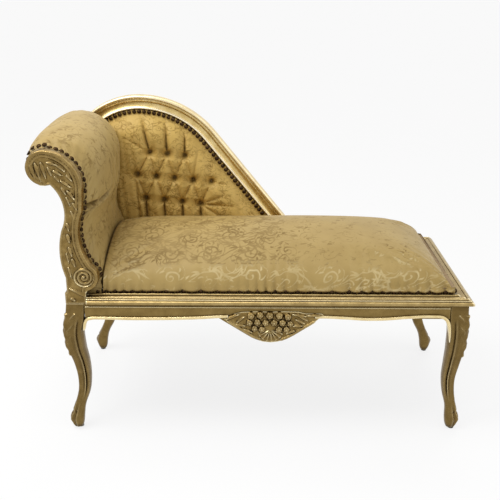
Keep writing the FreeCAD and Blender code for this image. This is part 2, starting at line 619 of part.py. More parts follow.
def pad_edges(swell, inset, y):
    """Edges of the pad outline from under the roll to the seat."""
    roll, p = arm_points(swell, inset)
    rise = size("arm_top") - z_leg
    over = roll + size("arm_crown") * swell * 0.5
    return p, [flat_arc(p[0], p[1], roll * 1.0005, 1, y), flat_arc(p[1], p[2], over * 1.0005, 1, y),
               flat_arc(p[2], p[3], rise * 0.25, 1, y), flat_line(p[3], p[4], y),
               flat_arc(p[4], p[5], rise * 0.45, -1, y), flat_line(p[5], p[6], y), flat_line(p[6], p[7], y)]


def foam_section(swell, y):
    """Closed section of the foam: pad outline outside, webbing and roll core inside."""
    p, edges = pad_edges(swell, size("cover_thickness") + gap, y)
    hollow = size("core_diameter") / 2 + strap + gap
    u = -size("scroll_reach")
    foot = (block_u + strap + gap + 1, p[-1][1])
    behind = (u_tack + strap + gap, tack_top)
    right = (u + hollow, z_scroll)
    top = (u, z_scroll + hollow)
    left_side = (u - hollow, z_scroll)
    under = (u, z_scroll - hollow)
    edges += [flat_line(p[-1], foot, y), flat_line(foot, behind, y), flat_line(behind, right, y),
              flat_arc(right, top, hollow * 1.0005, -1, y),
              flat_arc(top, left_side, hollow * 1.0005, -1, y), flat_arc(left_side, under, hollow * 1.0005, -1, y),
              flat_line(under, p[0], y)]
    return Part.Wire(edges)


def cover_section(swell, y):
    """Closed section of the cover: the outer outline and the same one cover thickness inside."""
    outer, edges = pad_edges(swell, 0, y)
    inner, lining = pad_edges(swell, size("cover_thickness"), y)
    ends = [flat_line(outer[-1], inner[-1], y), flat_line(inner[0], outer[0], y)]
    return Part.Wire(edges + ends[:1] + [edge for edge in reversed(lining)] + ends[1:])


arm_end = y_post - gap
stations = [(-arm_end, 0.0), (-arm_end * 0.86, 0.5), (-arm_end * 0.5, 0.92), (0.0, 1.0),
            (arm_end * 0.5, 0.92), (arm_end * 0.86, 0.5), (arm_end, 0.0)]
shape_piece("arm_foam", Part.makeLoft([foam_section(swell, y) for y, swell in stations], True))
arm_cover = shape_piece("arm_cover", Part.makeLoft([cover_section(swell, y) for y, swell in stations], True))

# Arm outside cover: one sheet from under the roll down the outer side of the posts
def outer_edges(inset, y):
    """Outer S of the arm post moved inward by an inset, from the scroll to the rail."""
    rise = size("arm_top") - z_leg
    p = [(-size("scroll_reach") + size("scroll_radius") * 0.28 + inset * 0.6, z_scroll - size("scroll_radius") * 0.96),
         (size("post_inset") - 1 + inset, z_leg + rise * 0.5), (size("post_inset") + inset, z_leg + rise * 0.18),
         (size("post_inset") + inset, z_step + gap)]
    return p, [flat_arc(p[0], p[1], rise * 0.254 - inset, 1, y), flat_arc(p[1], p[2], rise * 0.524 - inset, -1, y),
               flat_line(p[2], p[3], y)]


outer, outer_side = outer_edges(1.0, -arm_end)
inner, inner_side = outer_edges(1.0 + size("cover_thickness") * 0.75, -arm_end)
sheet = Part.Wire(outer_side + [flat_line(outer[-1], inner[-1], -arm_end)] + list(reversed(inner_side))
                  + [flat_line(inner[0], outer[0], -arm_end)])
shape_piece("arm_outer_cover", Part.Face(sheet).extrude(Vector(0, 2 * arm_end, 0)))

# Crest: one moulded section swept along two arcs, a straight fall and a flared tail
y_back = y_face - size("nail_setback") + size("back_gap")
x_peak = x_head + size("crest_peak")
fall = math.radians(size("crest_fall_angle"))
crest_full = size("crest_width") + size("crest_rebate")


def crest_points(inset):
    """Key points of a line parallel to the outer edge of the crest, and its three radii."""
    left_radius = size("crest_left_radius") - inset
    right_radius = size("crest_right_radius") - inset
    flare_radius = size("crest_flare") + inset
    left_centre = size("crest_top") - size("crest_left_radius")
    right_centre = size("crest_top") - size("crest_right_radius")
    start = math.radians(-52)
    fall_x = x_peak + right_radius * math.sin(fall)
    fall_z = right_centre + right_radius * math.cos(fall)
    outer_x = x_peak + size("crest_right_radius") * math.sin(fall)
    outer_z = right_centre + size("crest_right_radius") * math.cos(fall)
    run = (outer_z - (z_rail + size("flare_rise"))) / math.sin(fall)
    flare_x = fall_x + run * math.cos(fall)
    flare_z = fall_z - run * math.sin(fall)
    centre_x = outer_x + run * math.cos(fall) + size("crest_flare") * math.sin(fall)
    centre_z = outer_z - run * math.sin(fall) + size("crest_flare") * math.cos(fall)
    tail = math.radians(4)

    def on_left(angle):
        return Vector(x_peak + left_radius * math.sin(angle), 0, left_centre + left_radius * math.cos(angle))

    def on_right(angle):
        return Vector(x_peak + right_radius * math.sin(angle), 0, right_centre + right_radius * math.cos(angle))

    def on_flare(angle):
        return Vector(centre_x - flare_radius * math.sin(angle), 0, centre_z - flare_radius * math.cos(angle))

    return {"left": on_left(start), "left_mid": on_left(start / 2), "peak": on_left(0),
            "right_mid": on_right(fall / 2), "fall": Vector(fall_x, 0, fall_z), "flare": Vector(flare_x, 0, flare_z),
            "flare_mid": on_flare((fall + tail) / 2), "tail": on_flare(tail)}


def crest_edges(inset, y):
    """Edges along the crest from its left end to its tail."""
    p = {name: point + Vector(0, y, 0) for name, point in crest_points(inset).items()}
    return [Part.Arc(p["left"], p["left_mid"], p["peak"]).toShape(),
            Part.Arc(p["peak"], p["right_mid"], p["fall"]).toShape(),
            Part.LineSegment(p["fall"], p["flare"]).toShape(),
            Part.Arc(p["flare"], p["flare_mid"], p["tail"]).toShape()]


spine = Part.Wire(crest_edges(0, y_back))
start_point = crest_points(0)["left"]
inward = (crest_points(10)["left"] - start_point).normalize()
thick = size("crest_thickness")
wide = size("crest_width")
bead = wide * 0.15
profile = [(0, thick), (0, -bead * 0.4), (bead * 0.4, -bead), (bead * 1.4, -bead), (bead * 1.9, -bead * 0.2),
           (bead * 2.6, -bead * 0.2), (wide - bead * 2.8, bead * 0.6), (wide - bead * 1.4, -bead * 0.2),
           (wide - bead * 1.1, -bead * 0.7), (wide - bead * 0.3, -bead * 0.7), (wide, 0), (wide, bead * 0.8),
           (crest_full, bead * 0.8), (crest_full, thick)]
corners = [start_point + inward * n + Vector(0, y_back + y, 0) for n, y in profile]
sweep = Part.BRepOffsetAPI.MakePipeShell(spine)
sweep.setBiNormalMode(Vector(0, 1, 0))
sweep.add(Part.makePolygon(corners + corners[:1]))
sweep.build()
sweep.makeSolid()
below = Part.makeBox(2 * size("base_length"), 200, z_rail, Vector(-size("base_length"), y_back - 100, 0))
before_arm = Part.makeBox(size("arm_overhang") + size("arm_foot"), 50, size("crest_top"),
                          Vector(x_head - size("arm_overhang"), y_post + gap - 50, 0))
crest = sweep.shape().cut([below, before_arm, post_rear.Shape, peg_bore.Shape])
crest = max(crest.Solids, key=lambda solid: solid.Volume)
shape_piece("crest_rail", crest)

# Back bottom rail: stands on the rear seat rail, scribed to the rear post and the crest
z_pad = z_step + size("pad_rise")
bottom_rail = Part.makeBox(size("base_length"), thick, z_pad - z_rail, Vector(x_head + size("post_base"), y_back, z_rail))
above_crest = sweep.shape()
spare = Part.makeBox(size("base_length"), 2 * thick, z_pad, Vector(x_head + size("tail_peg") - 60, y_back - 5, z_rail))
bottom_rail = bottom_rail.cut([above_crest, post_rear.Shape, spare])
shape_piece("back_bottom_rail", max(bottom_rail.Solids, key=lambda solid: solid.Volume))


# Back pieces share one outline: a line inside the crest, closed on the left and along the bottom
def back_outline(inset, left_u, bottom, y):
    """Closed outline of a back piece, parallel to the outer edge of the crest."""
    p = crest_points(inset)
    left_x = x_head + left_u
    radius = size("crest_left_radius") - inset
    angle = math.asin((left_x - x_peak) / radius)
    centre = size("crest_top") - size("crest_left_radius")
    left_top = Vector(left_x, 0, centre + radius * math.cos(angle))
    left_mid = Vector(x_peak + radius * math.sin(angle / 2), 0, centre + radius * math.cos(angle / 2))
    low_x = p["fall"].x + (p["fall"].z - bottom) / math.tan(fall)
    shift = Vector(0, y, 0)
    corner = Vector(left_x, y, bottom)
    low = Vector(low_x, y, bottom)
    return Part.Wire([Part.LineSegment(corner, left_top + shift).toShape(),
                      Part.Arc(left_top + shift, left_mid + shift, p["peak"] + shift).toShape(),
                      Part.Arc(p["peak"] + shift, p["right_mid"] + shift, p["fall"] + shift).toShape(),
                      Part.LineSegment(p["fall"] + shift, low).toShape(), Part.LineSegment(low, corner).toShape()])


# Buttons: three rows in diamonds, the rows falling slightly towards the foot end
pitch = size("button_pitch")
button_places = []
for count, row, start in ((3, 1, 0.7), (5, 0, 0.0), (4, -1, 0.4)):
    for index in range(count):
        x = x_head + size("button_left") + (start + index) * pitch
        row_height = z_pad + size("button_rise") + row * size("button_row_pitch")
        button_places.append((x, row_height - 0.1 * (x - x_peak)))

board_front = y_back + 9
frame_left = size("shoulder_reach") + 3
board = Part.Face(back_outline(crest_full + gap, frame_left, z_pad + gap, board_front))
board = board.extrude(Vector(0, size("board_thickness"), 0))
holes = []
tie_hole = size("tie_diameter") / 2 + gap
for x, z in button_places:
    holes.append(Part.makeCylinder(tie_hole, 100, Vector(x, y_back - 60, z), Vector(0, 1, 0)))
shape_piece("back_board", board.cut(holes))

# Back pad: a filler inside the crest, a flat nailed border over its step, then the domed cushion
pad_left = size("arm_foot") + 8
filler = Part.Face(back_outline(crest_full + gap, frame_left, z_pad + gap, board_front - gap)).extrude(Vector(0, -6, 0))
pad_front = y_back - size("pad_depth") + 4
rise_y = y_back - 1 - pad_front
levels = [(y_back + 3.5, 0.5, frame_left), (y_back, 0.8, frame_left), (y_back - 0.5, 11.8, frame_left),
          (y_back - 1.2, 12.5, pad_left), (y_back - 1 - rise_y * 0.4, 18, pad_left + 3),
          (y_back - 1 - rise_y * 0.72, 31, pad_left + 9), (y_back - 1 - rise_y * 0.92, 52, pad_left + 20),
          (pad_front, 84, pad_left + 36)]
profiles = []
for y, spread, side in levels:
    low = z_pad + gap + max(spread - 12, 0) * 0.5
    profiles.append(back_outline(size("crest_width") + spread, side, low, y))
cushion = Part.makeLoft(profiles, True, True).fuse(filler)
tuft_floor = pad_front + size("tuft_depth")
button_radius = size("button_diameter") / 2
tufts = []
for x, z in button_places:
    tufts.append(Part.makeCone(button_radius * 2.4, button_radius + gap, size("tuft_depth"), Vector(x, pad_front, z),
                               Vector(0, 1, 0)))
shape_piece("back_pad", cushion.cut(tufts + holes))

# Covered buttons on the floors of the tufts, with ties to toggles behind the board
buttons = []
ties = []
dome = button_radius * 1.7
sag = dome - math.sqrt(dome * dome - button_radius * button_radius)
board_back = board_front + size("board_thickness")
for x, z in button_places:
    floor = tuft_floor - gap
    rim = Part.makeCylinder(button_radius, 2.5, Vector(x, floor - 2.5, z), Vector(0, 1, 0))
    ball = Part.makeSphere(dome, Vector(x, floor - 2.5 - sag + dome, z))
    cap = Part.makeBox(40, sag, 40, Vector(x - 20, floor - 2.5 - sag, z - 20))
    buttons.append(rim.fuse(ball.common(cap)).removeSplitter())
    tie = Part.makeCylinder(size("tie_diameter") / 2, board_back - floor, Vector(x, floor, z), Vector(0, 1, 0))
    ties.append(tie.fuse(Part.makeCylinder(5, 2, Vector(x, board_back, z), Vector(0, 1, 0))))
shape_piece("back_buttons", Part.makeCompound(buttons))
shape_piece("button_ties", Part.makeCompound(ties))

# Back outside cover: one sheet over the rear of the frame
cover = size("cover_thickness")
rear_y = y_back + thick + gap
rear_left = size("shoulder_reach") - 14
rear_low = z_rail + size("flare_rise") + 5
rear_sheet = Part.Face(back_outline(8, rear_left, rear_low, rear_y)).extrude(Vector(0, cover * 0.75, 0))
shape_piece("back_outer_cover", rear_sheet)

# Seat webbing, hessian and dust cover
step = f"({FACE} - dims.nail_setback)"
long_straps = []
for index in (-1, 0, 1):
    long_straps.append(block(f"long_strap_{index + 2}", f"dims.base_length - dims.nail_setback - {head_inset}",
                             "dims.strap_width", "dims.strap_thickness", f"{HEAD} + {head_inset}",
                             f"{index} * dims.base_depth * 0.25 - dims.strap_width / 2", STEP_TOP))
keep(group("seat_webbing_long", long_straps), "seat_webbing_long")
cross_straps = []
cross_count = 8
for index in range(cross_count):
    share = (index + 0.5) / cross_count
    span = "(dims.base_length - dims.arm_foot - dims.nail_setback)"
    cross_straps.append(block(f"cross_strap_{index + 1}", "dims.strap_width", f"2 * {step}", "dims.strap_thickness",
                              f"{HEAD} + dims.arm_foot + {share} * {span} - dims.strap_width / 2", f"-{step}",
                              f"{STEP_TOP} + dims.strap_thickness"))
keep(group("seat_webbing_cross", cross_straps), "seat_webbing_cross")
keep(block("seat_hessian", "dims.base_length - dims.arm_foot - dims.nail_setback", f"2 * {step}",
           "dims.hessian_thickness", f"{HEAD} + dims.arm_foot", f"-{step}",
           f"{STEP_TOP} + 2 * dims.strap_thickness"), "seat_hessian")
dust = doc.addObject("PartDesign::Body", "dust_body")
inner_x = "(dims.apron_setback + dims.apron_thickness + dims.clearance)"
bevel = f"({inner_x} + dims.leg_block)"
plan = []
for side_x, side_y, first in ((-1, -1, True), (1, -1, False), (1, 1, True), (-1, 1, False)):
    outer_x = FOOT if side_x > 0 else HEAD
    along = (f"{outer_x} - {side_x} * {inner_x}", f"{side_y} * ({FACE} - {bevel})")
    other = (f"{outer_x} - {side_x} * {bevel}", f"{side_y} * ({FACE} - {inner_x})")
    plan += [along, other] if first else [other, along]
pad(dust, sketch_outline(dust, "dust_plan", "XY_Plane", "dims.leg_height - dims.hessian_thickness - 0.2", plan),
    "dims.hessian_thickness")
keep(dust, "seat_dust_cover")


# Seat pad: rounded oblongs stacked up to the crown, upright at the arm and drawn in on the other sides
def seat_loft(inset, base):
    """Solid of the seat pad moved inward by an inset, standing on a given height."""
    left_x = x_head + size("arm_foot") + inset
    right_x = x_foot - size("nail_setback") + size("cover_thickness") + gap - inset
    half = y_face - size("nail_setback") + size("cover_thickness") + gap - inset
    low = z_rail + 0.5
    crown = size("seat_crown") - 0.5 - inset
    wires = []
    for share in (0.0, 0.07, 0.14, 0.2, 0.3, 0.42, 0.55, 0.7, 0.82, 0.91, 0.965, 0.99):
        climb = max(share - 0.2, 0) / 0.8
        fullness = 1 - climb ** 1.9
        pull_y = half * (1 - fullness ** (1 / 1.7))
        pull_x = (right_x - left_x) * 0.43 * (1 - fullness ** (1 / 2.6))
        z = base if share == 0 else low + share * crown
        ends = (left_x + pull_x * 0.3, right_x - pull_x)
        width = half - pull_y
        corner = min(3 - inset + pull_y * 0.5, width * 0.8)
        wires.append(rounded_oblong(ends, width, corner, z))
    return Part.makeLoft(wires, True)


def rounded_oblong(ends, width, corner, z):
    """Horizontal oblong with rounded corners."""
    x0, x1 = ends
    bend = corner * (1 - math.sqrt(0.5))
    edges = []
    turns = [(x1 - corner, -width, x1 - bend, -width + bend, x1, -width + corner),
             (x1, width - corner, x1 - bend, width - bend, x1 - corner, width),
             (x0 + corner, width, x0 + bend, width - bend, x0, width - corner),
             (x0, -width + corner, x0 + bend, -width + bend, x0 + corner, -width)]
    for index, (ax, ay, mx, my, bx, by) in enumerate(turns):
        following = turns[(index + 1) % 4]
        edges.append(Part.Arc(Vector(ax, ay, z), Vector(mx, my, z), Vector(bx, by, z)).toShape())
        edges.append(Part.LineSegment(Vector(bx, by, z), Vector(following[0], following[1], z)).toShape())
    return Part.Wire(edges)


hessian_top = z_step + 2 * strap + size("hessian_thickness")
foam_body = seat_loft(cover + gap, z_rail)
under_foam = Part.makeBox(2 * size("base_length"), 2 * size("base_depth"), hessian_top + gap,
                          Vector(-size("base_length"), -size("base_depth"), 0))
shape_piece("seat_foam", foam_body.cut(under_foam))
arm_side = Part.makeBox(14, 2 * size("base_depth"), hessian_top + gap,
                        Vector(x_head + size("arm_foot") - 1, -size("base_depth"), 0))
shape_piece("seat_cover", seat_loft(0, z_rail + 0.5).cut([seat_loft(cover, z_rail - 1), arm_side]))

# Nails: domed heads set almost touching
nail_radius = size("nail_diameter") / 2
nail_rise = size("nail_height")
ball_radius = (nail_radius ** 2 + nail_rise ** 2) / (2 * nail_rise)
nail_ball = Part.makeSphere(ball_radius, Vector(0, 0, nail_rise - ball_radius))
nail_head = nail_ball.common(Part.makeBox(40, 40, nail_rise + 1, Vector(-20, -20, 0)))
nail_head = nail_head.Solids[0]


def nail_group(label, places):
    """One piece of separate nail heads from (point, outward direction) pairs."""
    heads = []
    for point, outward in places:
        head = nail_head.copy()
        head.Placement = Placement(point, Rotation(Vector(0, 0, 1), outward))
        heads.append(head)
    return shape_piece(label, Part.makeCompound(heads))


def spaced(start, end):
    """Positions along a straight row, evenly close to the nail pitch."""
    count = max(int(round((end - start) / size("nail_pitch"))), 1)
    return [start + (end - start) * index / count for index in range(count + 1)]


skirt = y_face - size("nail_setback") + cover + 2 * gap
skirt_x = x_foot - size("nail_setback") + cover + 2 * gap
nail_z = z_rail + 0.5 + nail_radius + 0.6
nail_in = nail_radius + 6
row = spaced(x_head + size("arm_foot") + 12, skirt_x - nail_in)
nail_group("seat_nails_front", [(Vector(x, -skirt, nail_z), Vector(0, -1, 0)) for x in row])
row = spaced(-skirt + nail_in, skirt - nail_in)
nail_group("seat_nails_foot", [(Vector(skirt_x, y, nail_z), Vector(1, 0, 0)) for y in row])
row = spaced(crest_points(0)["tail"].x + nail_in, skirt_x - nail_in)
nail_group("seat_nails_rear", [(Vector(x, skirt, nail_z), Vector(0, 1, 0)) for x in row])

border = Part.Wire(crest_edges(size("crest_width") + 6.3, y_back - 0.8))
places = []
for point in border.discretize(Distance=size("nail_pitch")):
    if point.x > x_head + frame_left + nail_radius and point.z > z_pad + nail_radius:
        places.append((point, Vector(0, -1, 0)))
nail_group("crest_nails_front", places)

rear_edge = back_outline(8 + nail_radius + 2, rear_left + nail_radius + 2, rear_low + nail_radius + 2,
                         rear_y + cover * 0.75)
count = int(rear_edge.Length / size("nail_pitch"))
places = [(point, Vector(0, 1, 0)) for point in rear_edge.discretize(Number=count + 1)[:-1]]
nail_group("back_nails_rear", places)

for label, side_y in (("arm_nails_front", -1), ("arm_nails_rear", 1)):
    y = side_y * (arm_end - nail_radius - 2)
    _, edges = pad_edges(0.14, 0, y)
    line = Part.Wire(edges[1:5])
    points = line.discretize(Distance=size("nail_pitch"))
    slices = [Part.makeCompound(arm_cover.Shape.slice(Vector(0, 1, 0), y + shift)) for shift in (-2, 0, 2)]
    places = []
    for index in range(1, len(points) - 1):
        tangent = points[index + 1] - points[index - 1]
        outside = Part.Vertex(points[index] + Vector(-tangent.z, 0, tangent.x).normalize() * 10)
        before, seat, after = [outline.distToShape(outside)[1][0][0] for outline in slices]
        outward = tangent.cross(after - before).normalize()
        places.append((seat + outward * gap, outward))
    nail_group(label, places)

# Check every object, then write one file for each piece
doc.recompute()
for piece in doc.Objects:
    if "Invalid" in piece.State or "Error" in piece.State:
        raise RuntimeError(f"{piece.Label} did not build: {piece.State}")
for piece in nodes:
    if piece.Shape.isNull() or not piece.Shape.isValid() or not piece.Shape.Solids:
        raise RuntimeError(f"{piece.Label} has no valid solid")
    piece.Shape.exportStep(f"parts/{piece.Label}.step")
    print(piece.Label, len(piece.Shape.Solids), round(piece.Shape.Volume / 1000, 1))
print(len(nodes), "pieces written")
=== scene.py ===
import math

import bmesh
import bpy
import numpy as np
from mathutils import Matrix, Vector, geometry, kdtree


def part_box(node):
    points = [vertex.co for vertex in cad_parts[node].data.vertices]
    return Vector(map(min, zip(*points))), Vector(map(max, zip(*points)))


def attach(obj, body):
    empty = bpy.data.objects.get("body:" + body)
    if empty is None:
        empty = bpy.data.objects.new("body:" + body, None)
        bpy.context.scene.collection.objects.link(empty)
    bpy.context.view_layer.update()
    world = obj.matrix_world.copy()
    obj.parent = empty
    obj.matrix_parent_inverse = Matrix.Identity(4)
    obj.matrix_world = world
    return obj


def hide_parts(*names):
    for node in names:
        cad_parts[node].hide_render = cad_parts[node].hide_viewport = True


# Gilt chaise longue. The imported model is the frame; lengths below are millimetres in that frame,
# with u measured from the head end of the base along X.
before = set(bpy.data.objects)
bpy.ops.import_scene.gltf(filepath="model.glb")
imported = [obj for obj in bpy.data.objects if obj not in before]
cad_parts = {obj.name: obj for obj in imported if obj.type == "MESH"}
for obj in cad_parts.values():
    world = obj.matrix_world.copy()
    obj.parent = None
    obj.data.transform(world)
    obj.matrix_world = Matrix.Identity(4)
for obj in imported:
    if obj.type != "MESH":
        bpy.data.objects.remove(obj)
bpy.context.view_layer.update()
HEAD_X = -415.85

# Legs. Each cabriole leg is carved from one beech post, with an acanthus leaf over the knee and a
# small scrolled toe. It is dowelled to the aprons, then gessoed and gilded with the rest of the frame.


def feed(tree, node, **inputs):
    """Sets inputs of a node, each from a value or a socket; an underscore in a name stands for a space."""
    for name, given in inputs.items():
        socket = node.inputs[name.replace("_", " ")]
        if isinstance(given, bpy.types.NodeSocket):
            tree.links.new(given, socket)
        else:
            socket.default_value = given
    return node


def add_node(tree, kind, **inputs):
    """New node of a tree with its inputs set."""
    return feed(tree, tree.nodes.new(kind), **inputs)


def new_finish(name):
    """A material, its node tree, its shader and the coordinates of the piece."""
    material = bpy.data.materials.new(name)
    material.use_nodes = True
    tree = material.node_tree
    place = tree.nodes.new("ShaderNodeTexCoord").outputs["Object"]
    return material, tree, tree.nodes["Principled BSDF"], place


def grain(tree, source, scale, detail, roughness=0.55):
    """Noise texture read from a coordinate output."""
    noise = add_node(tree, "ShaderNodeTexNoise", Vector=source, Scale=scale, Detail=detail,
                     Roughness=roughness)
    return noise.outputs["Fac"]


def spread(tree, source, low, high, to_low, to_high):
    """A value range mapped to another one."""
    node = add_node(tree, "ShaderNodeMapRange", Value=source, From_Min=low, From_Max=high, To_Min=to_low,
                    To_Max=to_high)
    return node.outputs["Result"]


def colour_ramp(tree, source, stops):
    """Colours along a value: stops are (position, (r, g, b))."""
    node = add_node(tree, "ShaderNodeValToRGB", Fac=source)
    elements = node.color_ramp.elements
    while len(elements) < len(stops):
        elements.new(0.5)
    for element, (position, colour) in zip(elements, stops):
        element.position = position
        element.color = (*colour, 1.0)
    return node.outputs["Color"]


def blend_colours(tree, factor, first, second):
    """Mix of two colours, each a socket or an (r, g, b) value."""
    node = tree.nodes.new("ShaderNodeMix")
    node.data_type = "RGBA"
    feed(tree, node, Factor=factor)
    for socket, colour in ((node.inputs[6], first), (node.inputs[7], second)):
        if isinstance(colour, tuple):
            socket.default_value = (*colour, 1.0)
        else:
            tree.links.new(colour, socket)
    return node.outputs[2]


def sheltered(tree, reach, inside=False):
    """How open a place is to what stands within a reach, or how far it lies from an edge if inside."""
    node = add_node(tree, "ShaderNodeAmbientOcclusion", Distance=reach)
    node.samples = 8
    node.inside = inside
    node.only_local = inside
    return node.outputs["AO"]


def raise_surface(tree, shader, heights):
    """Chain of bumps on the shader: heights are (socket, strength, depth in metres)."""
    last = None
    for height, strength, depth in heights:
        bump = add_node(tree, "ShaderNodeBump", Height=height, Strength=strength, Distance=depth)
        if last is not None:
            feed(tree, bump, Normal=last.outputs["Normal"])
        last = bump
    feed(tree, shader, Normal=last.outputs["Normal"])


def gilding(name, tones, rubbed_and_highlight_width, uneven, smoothest, roughest):
    """Burnished gold leaf in five tones: hollows, dull, usual and bright leaf, and rubbed high places. The
    hollow tone is patina with painted shade, and the rubbed tone is wear with a painted highlight.
    """
    shade_and_patina_tone, dull_tone, leaf_tone, bright_tone, rubbed_and_highlight_tone = tones
    material, tree, shader, place = new_finish(name)
    clouds = grain(tree, place, 46.0, 6.0, 0.66)
    leaf = colour_ramp(tree, clouds, [(0.24, dull_tone), (0.5, leaf_tone), (0.8, bright_tone)])
    # Painted shade, partly patina: hollows and places under overhangs within 16 mm darken toward the hollow
    # tone.
    open_level = spread(tree, sheltered(tree, 0.016), 0.42, 0.97, 0.0, 1.0)
    shaded_and_aged = blend_colours(tree, open_level, shade_and_patina_tone, leaf)
    # Painted highlight, partly wear: sharp edges within the given width lighten toward the rubbed tone.
    edge_highlight_level = spread(tree, sheltered(tree, rubbed_and_highlight_width, True), 0.5, 0.92, 0.8, 0.0)
    rubbed = grain(tree, place, 90.0, 4.0)
    feed(tree, shader, Metallic=0.9, Base_Color=blend_colours(tree, edge_highlight_level, shaded_and_aged, rubbed_and_highlight_tone),
         Roughness=spread(tree, rubbed, 0.3, 0.7, smoothest, roughest))
    fine = grain(tree, place, 420.0, 3.0)
    broad = grain(tree, place, 75.0, 3.0)
    raise_surface(tree, shader, [(broad, uneven, 0.0016), (fine, uneven * 0.4, 0.0005)])
    return material


def eased(keys, at):
    """Smooth curve through (place, value) pairs, read at an array of places."""
    places, values = np.array(keys, float).T
    slopes = np.gradient(values, places)
    at = np.clip(np.asarray(at, float), places[0], places[-1])
    left = np.clip(np.searchsorted(places, at) - 1, 0, len(places) - 2)
    gap = places[left + 1] - places[left]
    t = (at - places[left]) / gap
    return ((2 * t ** 3 - 3 * t ** 2 + 1) * values[left] + (t ** 3 - 2 * t ** 2 + t) * gap * slopes[left]
            + (3 * t ** 2 - 2 * t ** 3) * values[left + 1] + (t ** 3 - t ** 2) * gap * slopes[left + 1])


def bell(distance, width):
    """Smooth bump that is 1 in its middle."""
    return np.exp(-(distance / width) ** 2)


def share_of(value, length):
    """A value as a share of a length, kept between 0 and 1."""
    return np.clip(value / length, 0, 1)


def skin(rows, columns, around=False, capped=False):
    """Faces over a grid of points given row by row, closed around and capped where asked."""
    faces = []
    for row in range(rows - 1):
        for column in range(columns if around else columns - 1):
            after = (column + 1) % columns
            faces.append((row * columns + column, row * columns + after, (row + 1) * columns + after,
                          (row + 1) * columns + column))
    if capped:
        faces.append(tuple(range(columns - 1, -1, -1)))
        faces.append(tuple(range((rows - 1) * columns, rows * columns)))
    return faces


def add_object(name, data):
    """New object in the scene that shows a mesh, a lamp or a camera."""
    made = bpy.data.objects.new(name, data)
    bpy.context.scene.collection.objects.link(made)
    return made


def add_piece(name, points, faces, material, nodes=(), crease=35.0):
    """Mesh piece in the frame from points in millimetres, standing for the named nodes."""
    mesh = bpy.data.meshes.new(name)
    mesh.from_pydata((np.asarray(points, float) * 0.001).tolist(), [], faces)
    shell = bmesh.new()
    shell.from_mesh(mesh)
    bmesh.ops.recalc_face_normals(shell, faces=shell.faces)
    shell.to_mesh(mesh)
    shell.free()
    mesh.shade_smooth()
    mesh.set_sharp_from_angle(angle=math.radians(crease))
    mesh.materials.append(material)
    piece = add_object(name, mesh)
    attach(piece, "root")
    if nodes:
        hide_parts(*nodes)
    return piece


gilt = gilding("old_gold_leaf", ((0.03, 0.016, 0.003), (0.175, 0.11, 0.031), (0.265, 0.172, 0.052),
                                 (0.48, 0.34, 0.125), (0.96, 0.83, 0.50)),
               rubbed_and_highlight_width=0.003, uneven=0.2, smoothest=0.2, roughest=0.34)
leg_gilt = gilding("leg_gold_leaf", ((0.04, 0.022, 0.005), (0.135, 0.085, 0.024), (0.18, 0.116, 0.035),
                                     (0.25, 0.168, 0.056), (0.88, 0.72, 0.40)),
                   rubbed_and_highlight_width=0.0032, uneven=0.06, smoothest=0.22, roughest=0.34)
LEG_SOLE = 4.0
LEG_TOP = 313.0
LEG_SIDES = 120
KNEE_LEAF_TOP = 290.0
KNEE_LEAF_LENGTH = 104.0
SHAFT_TOP = 208.0
TOE_TOP = 66.0


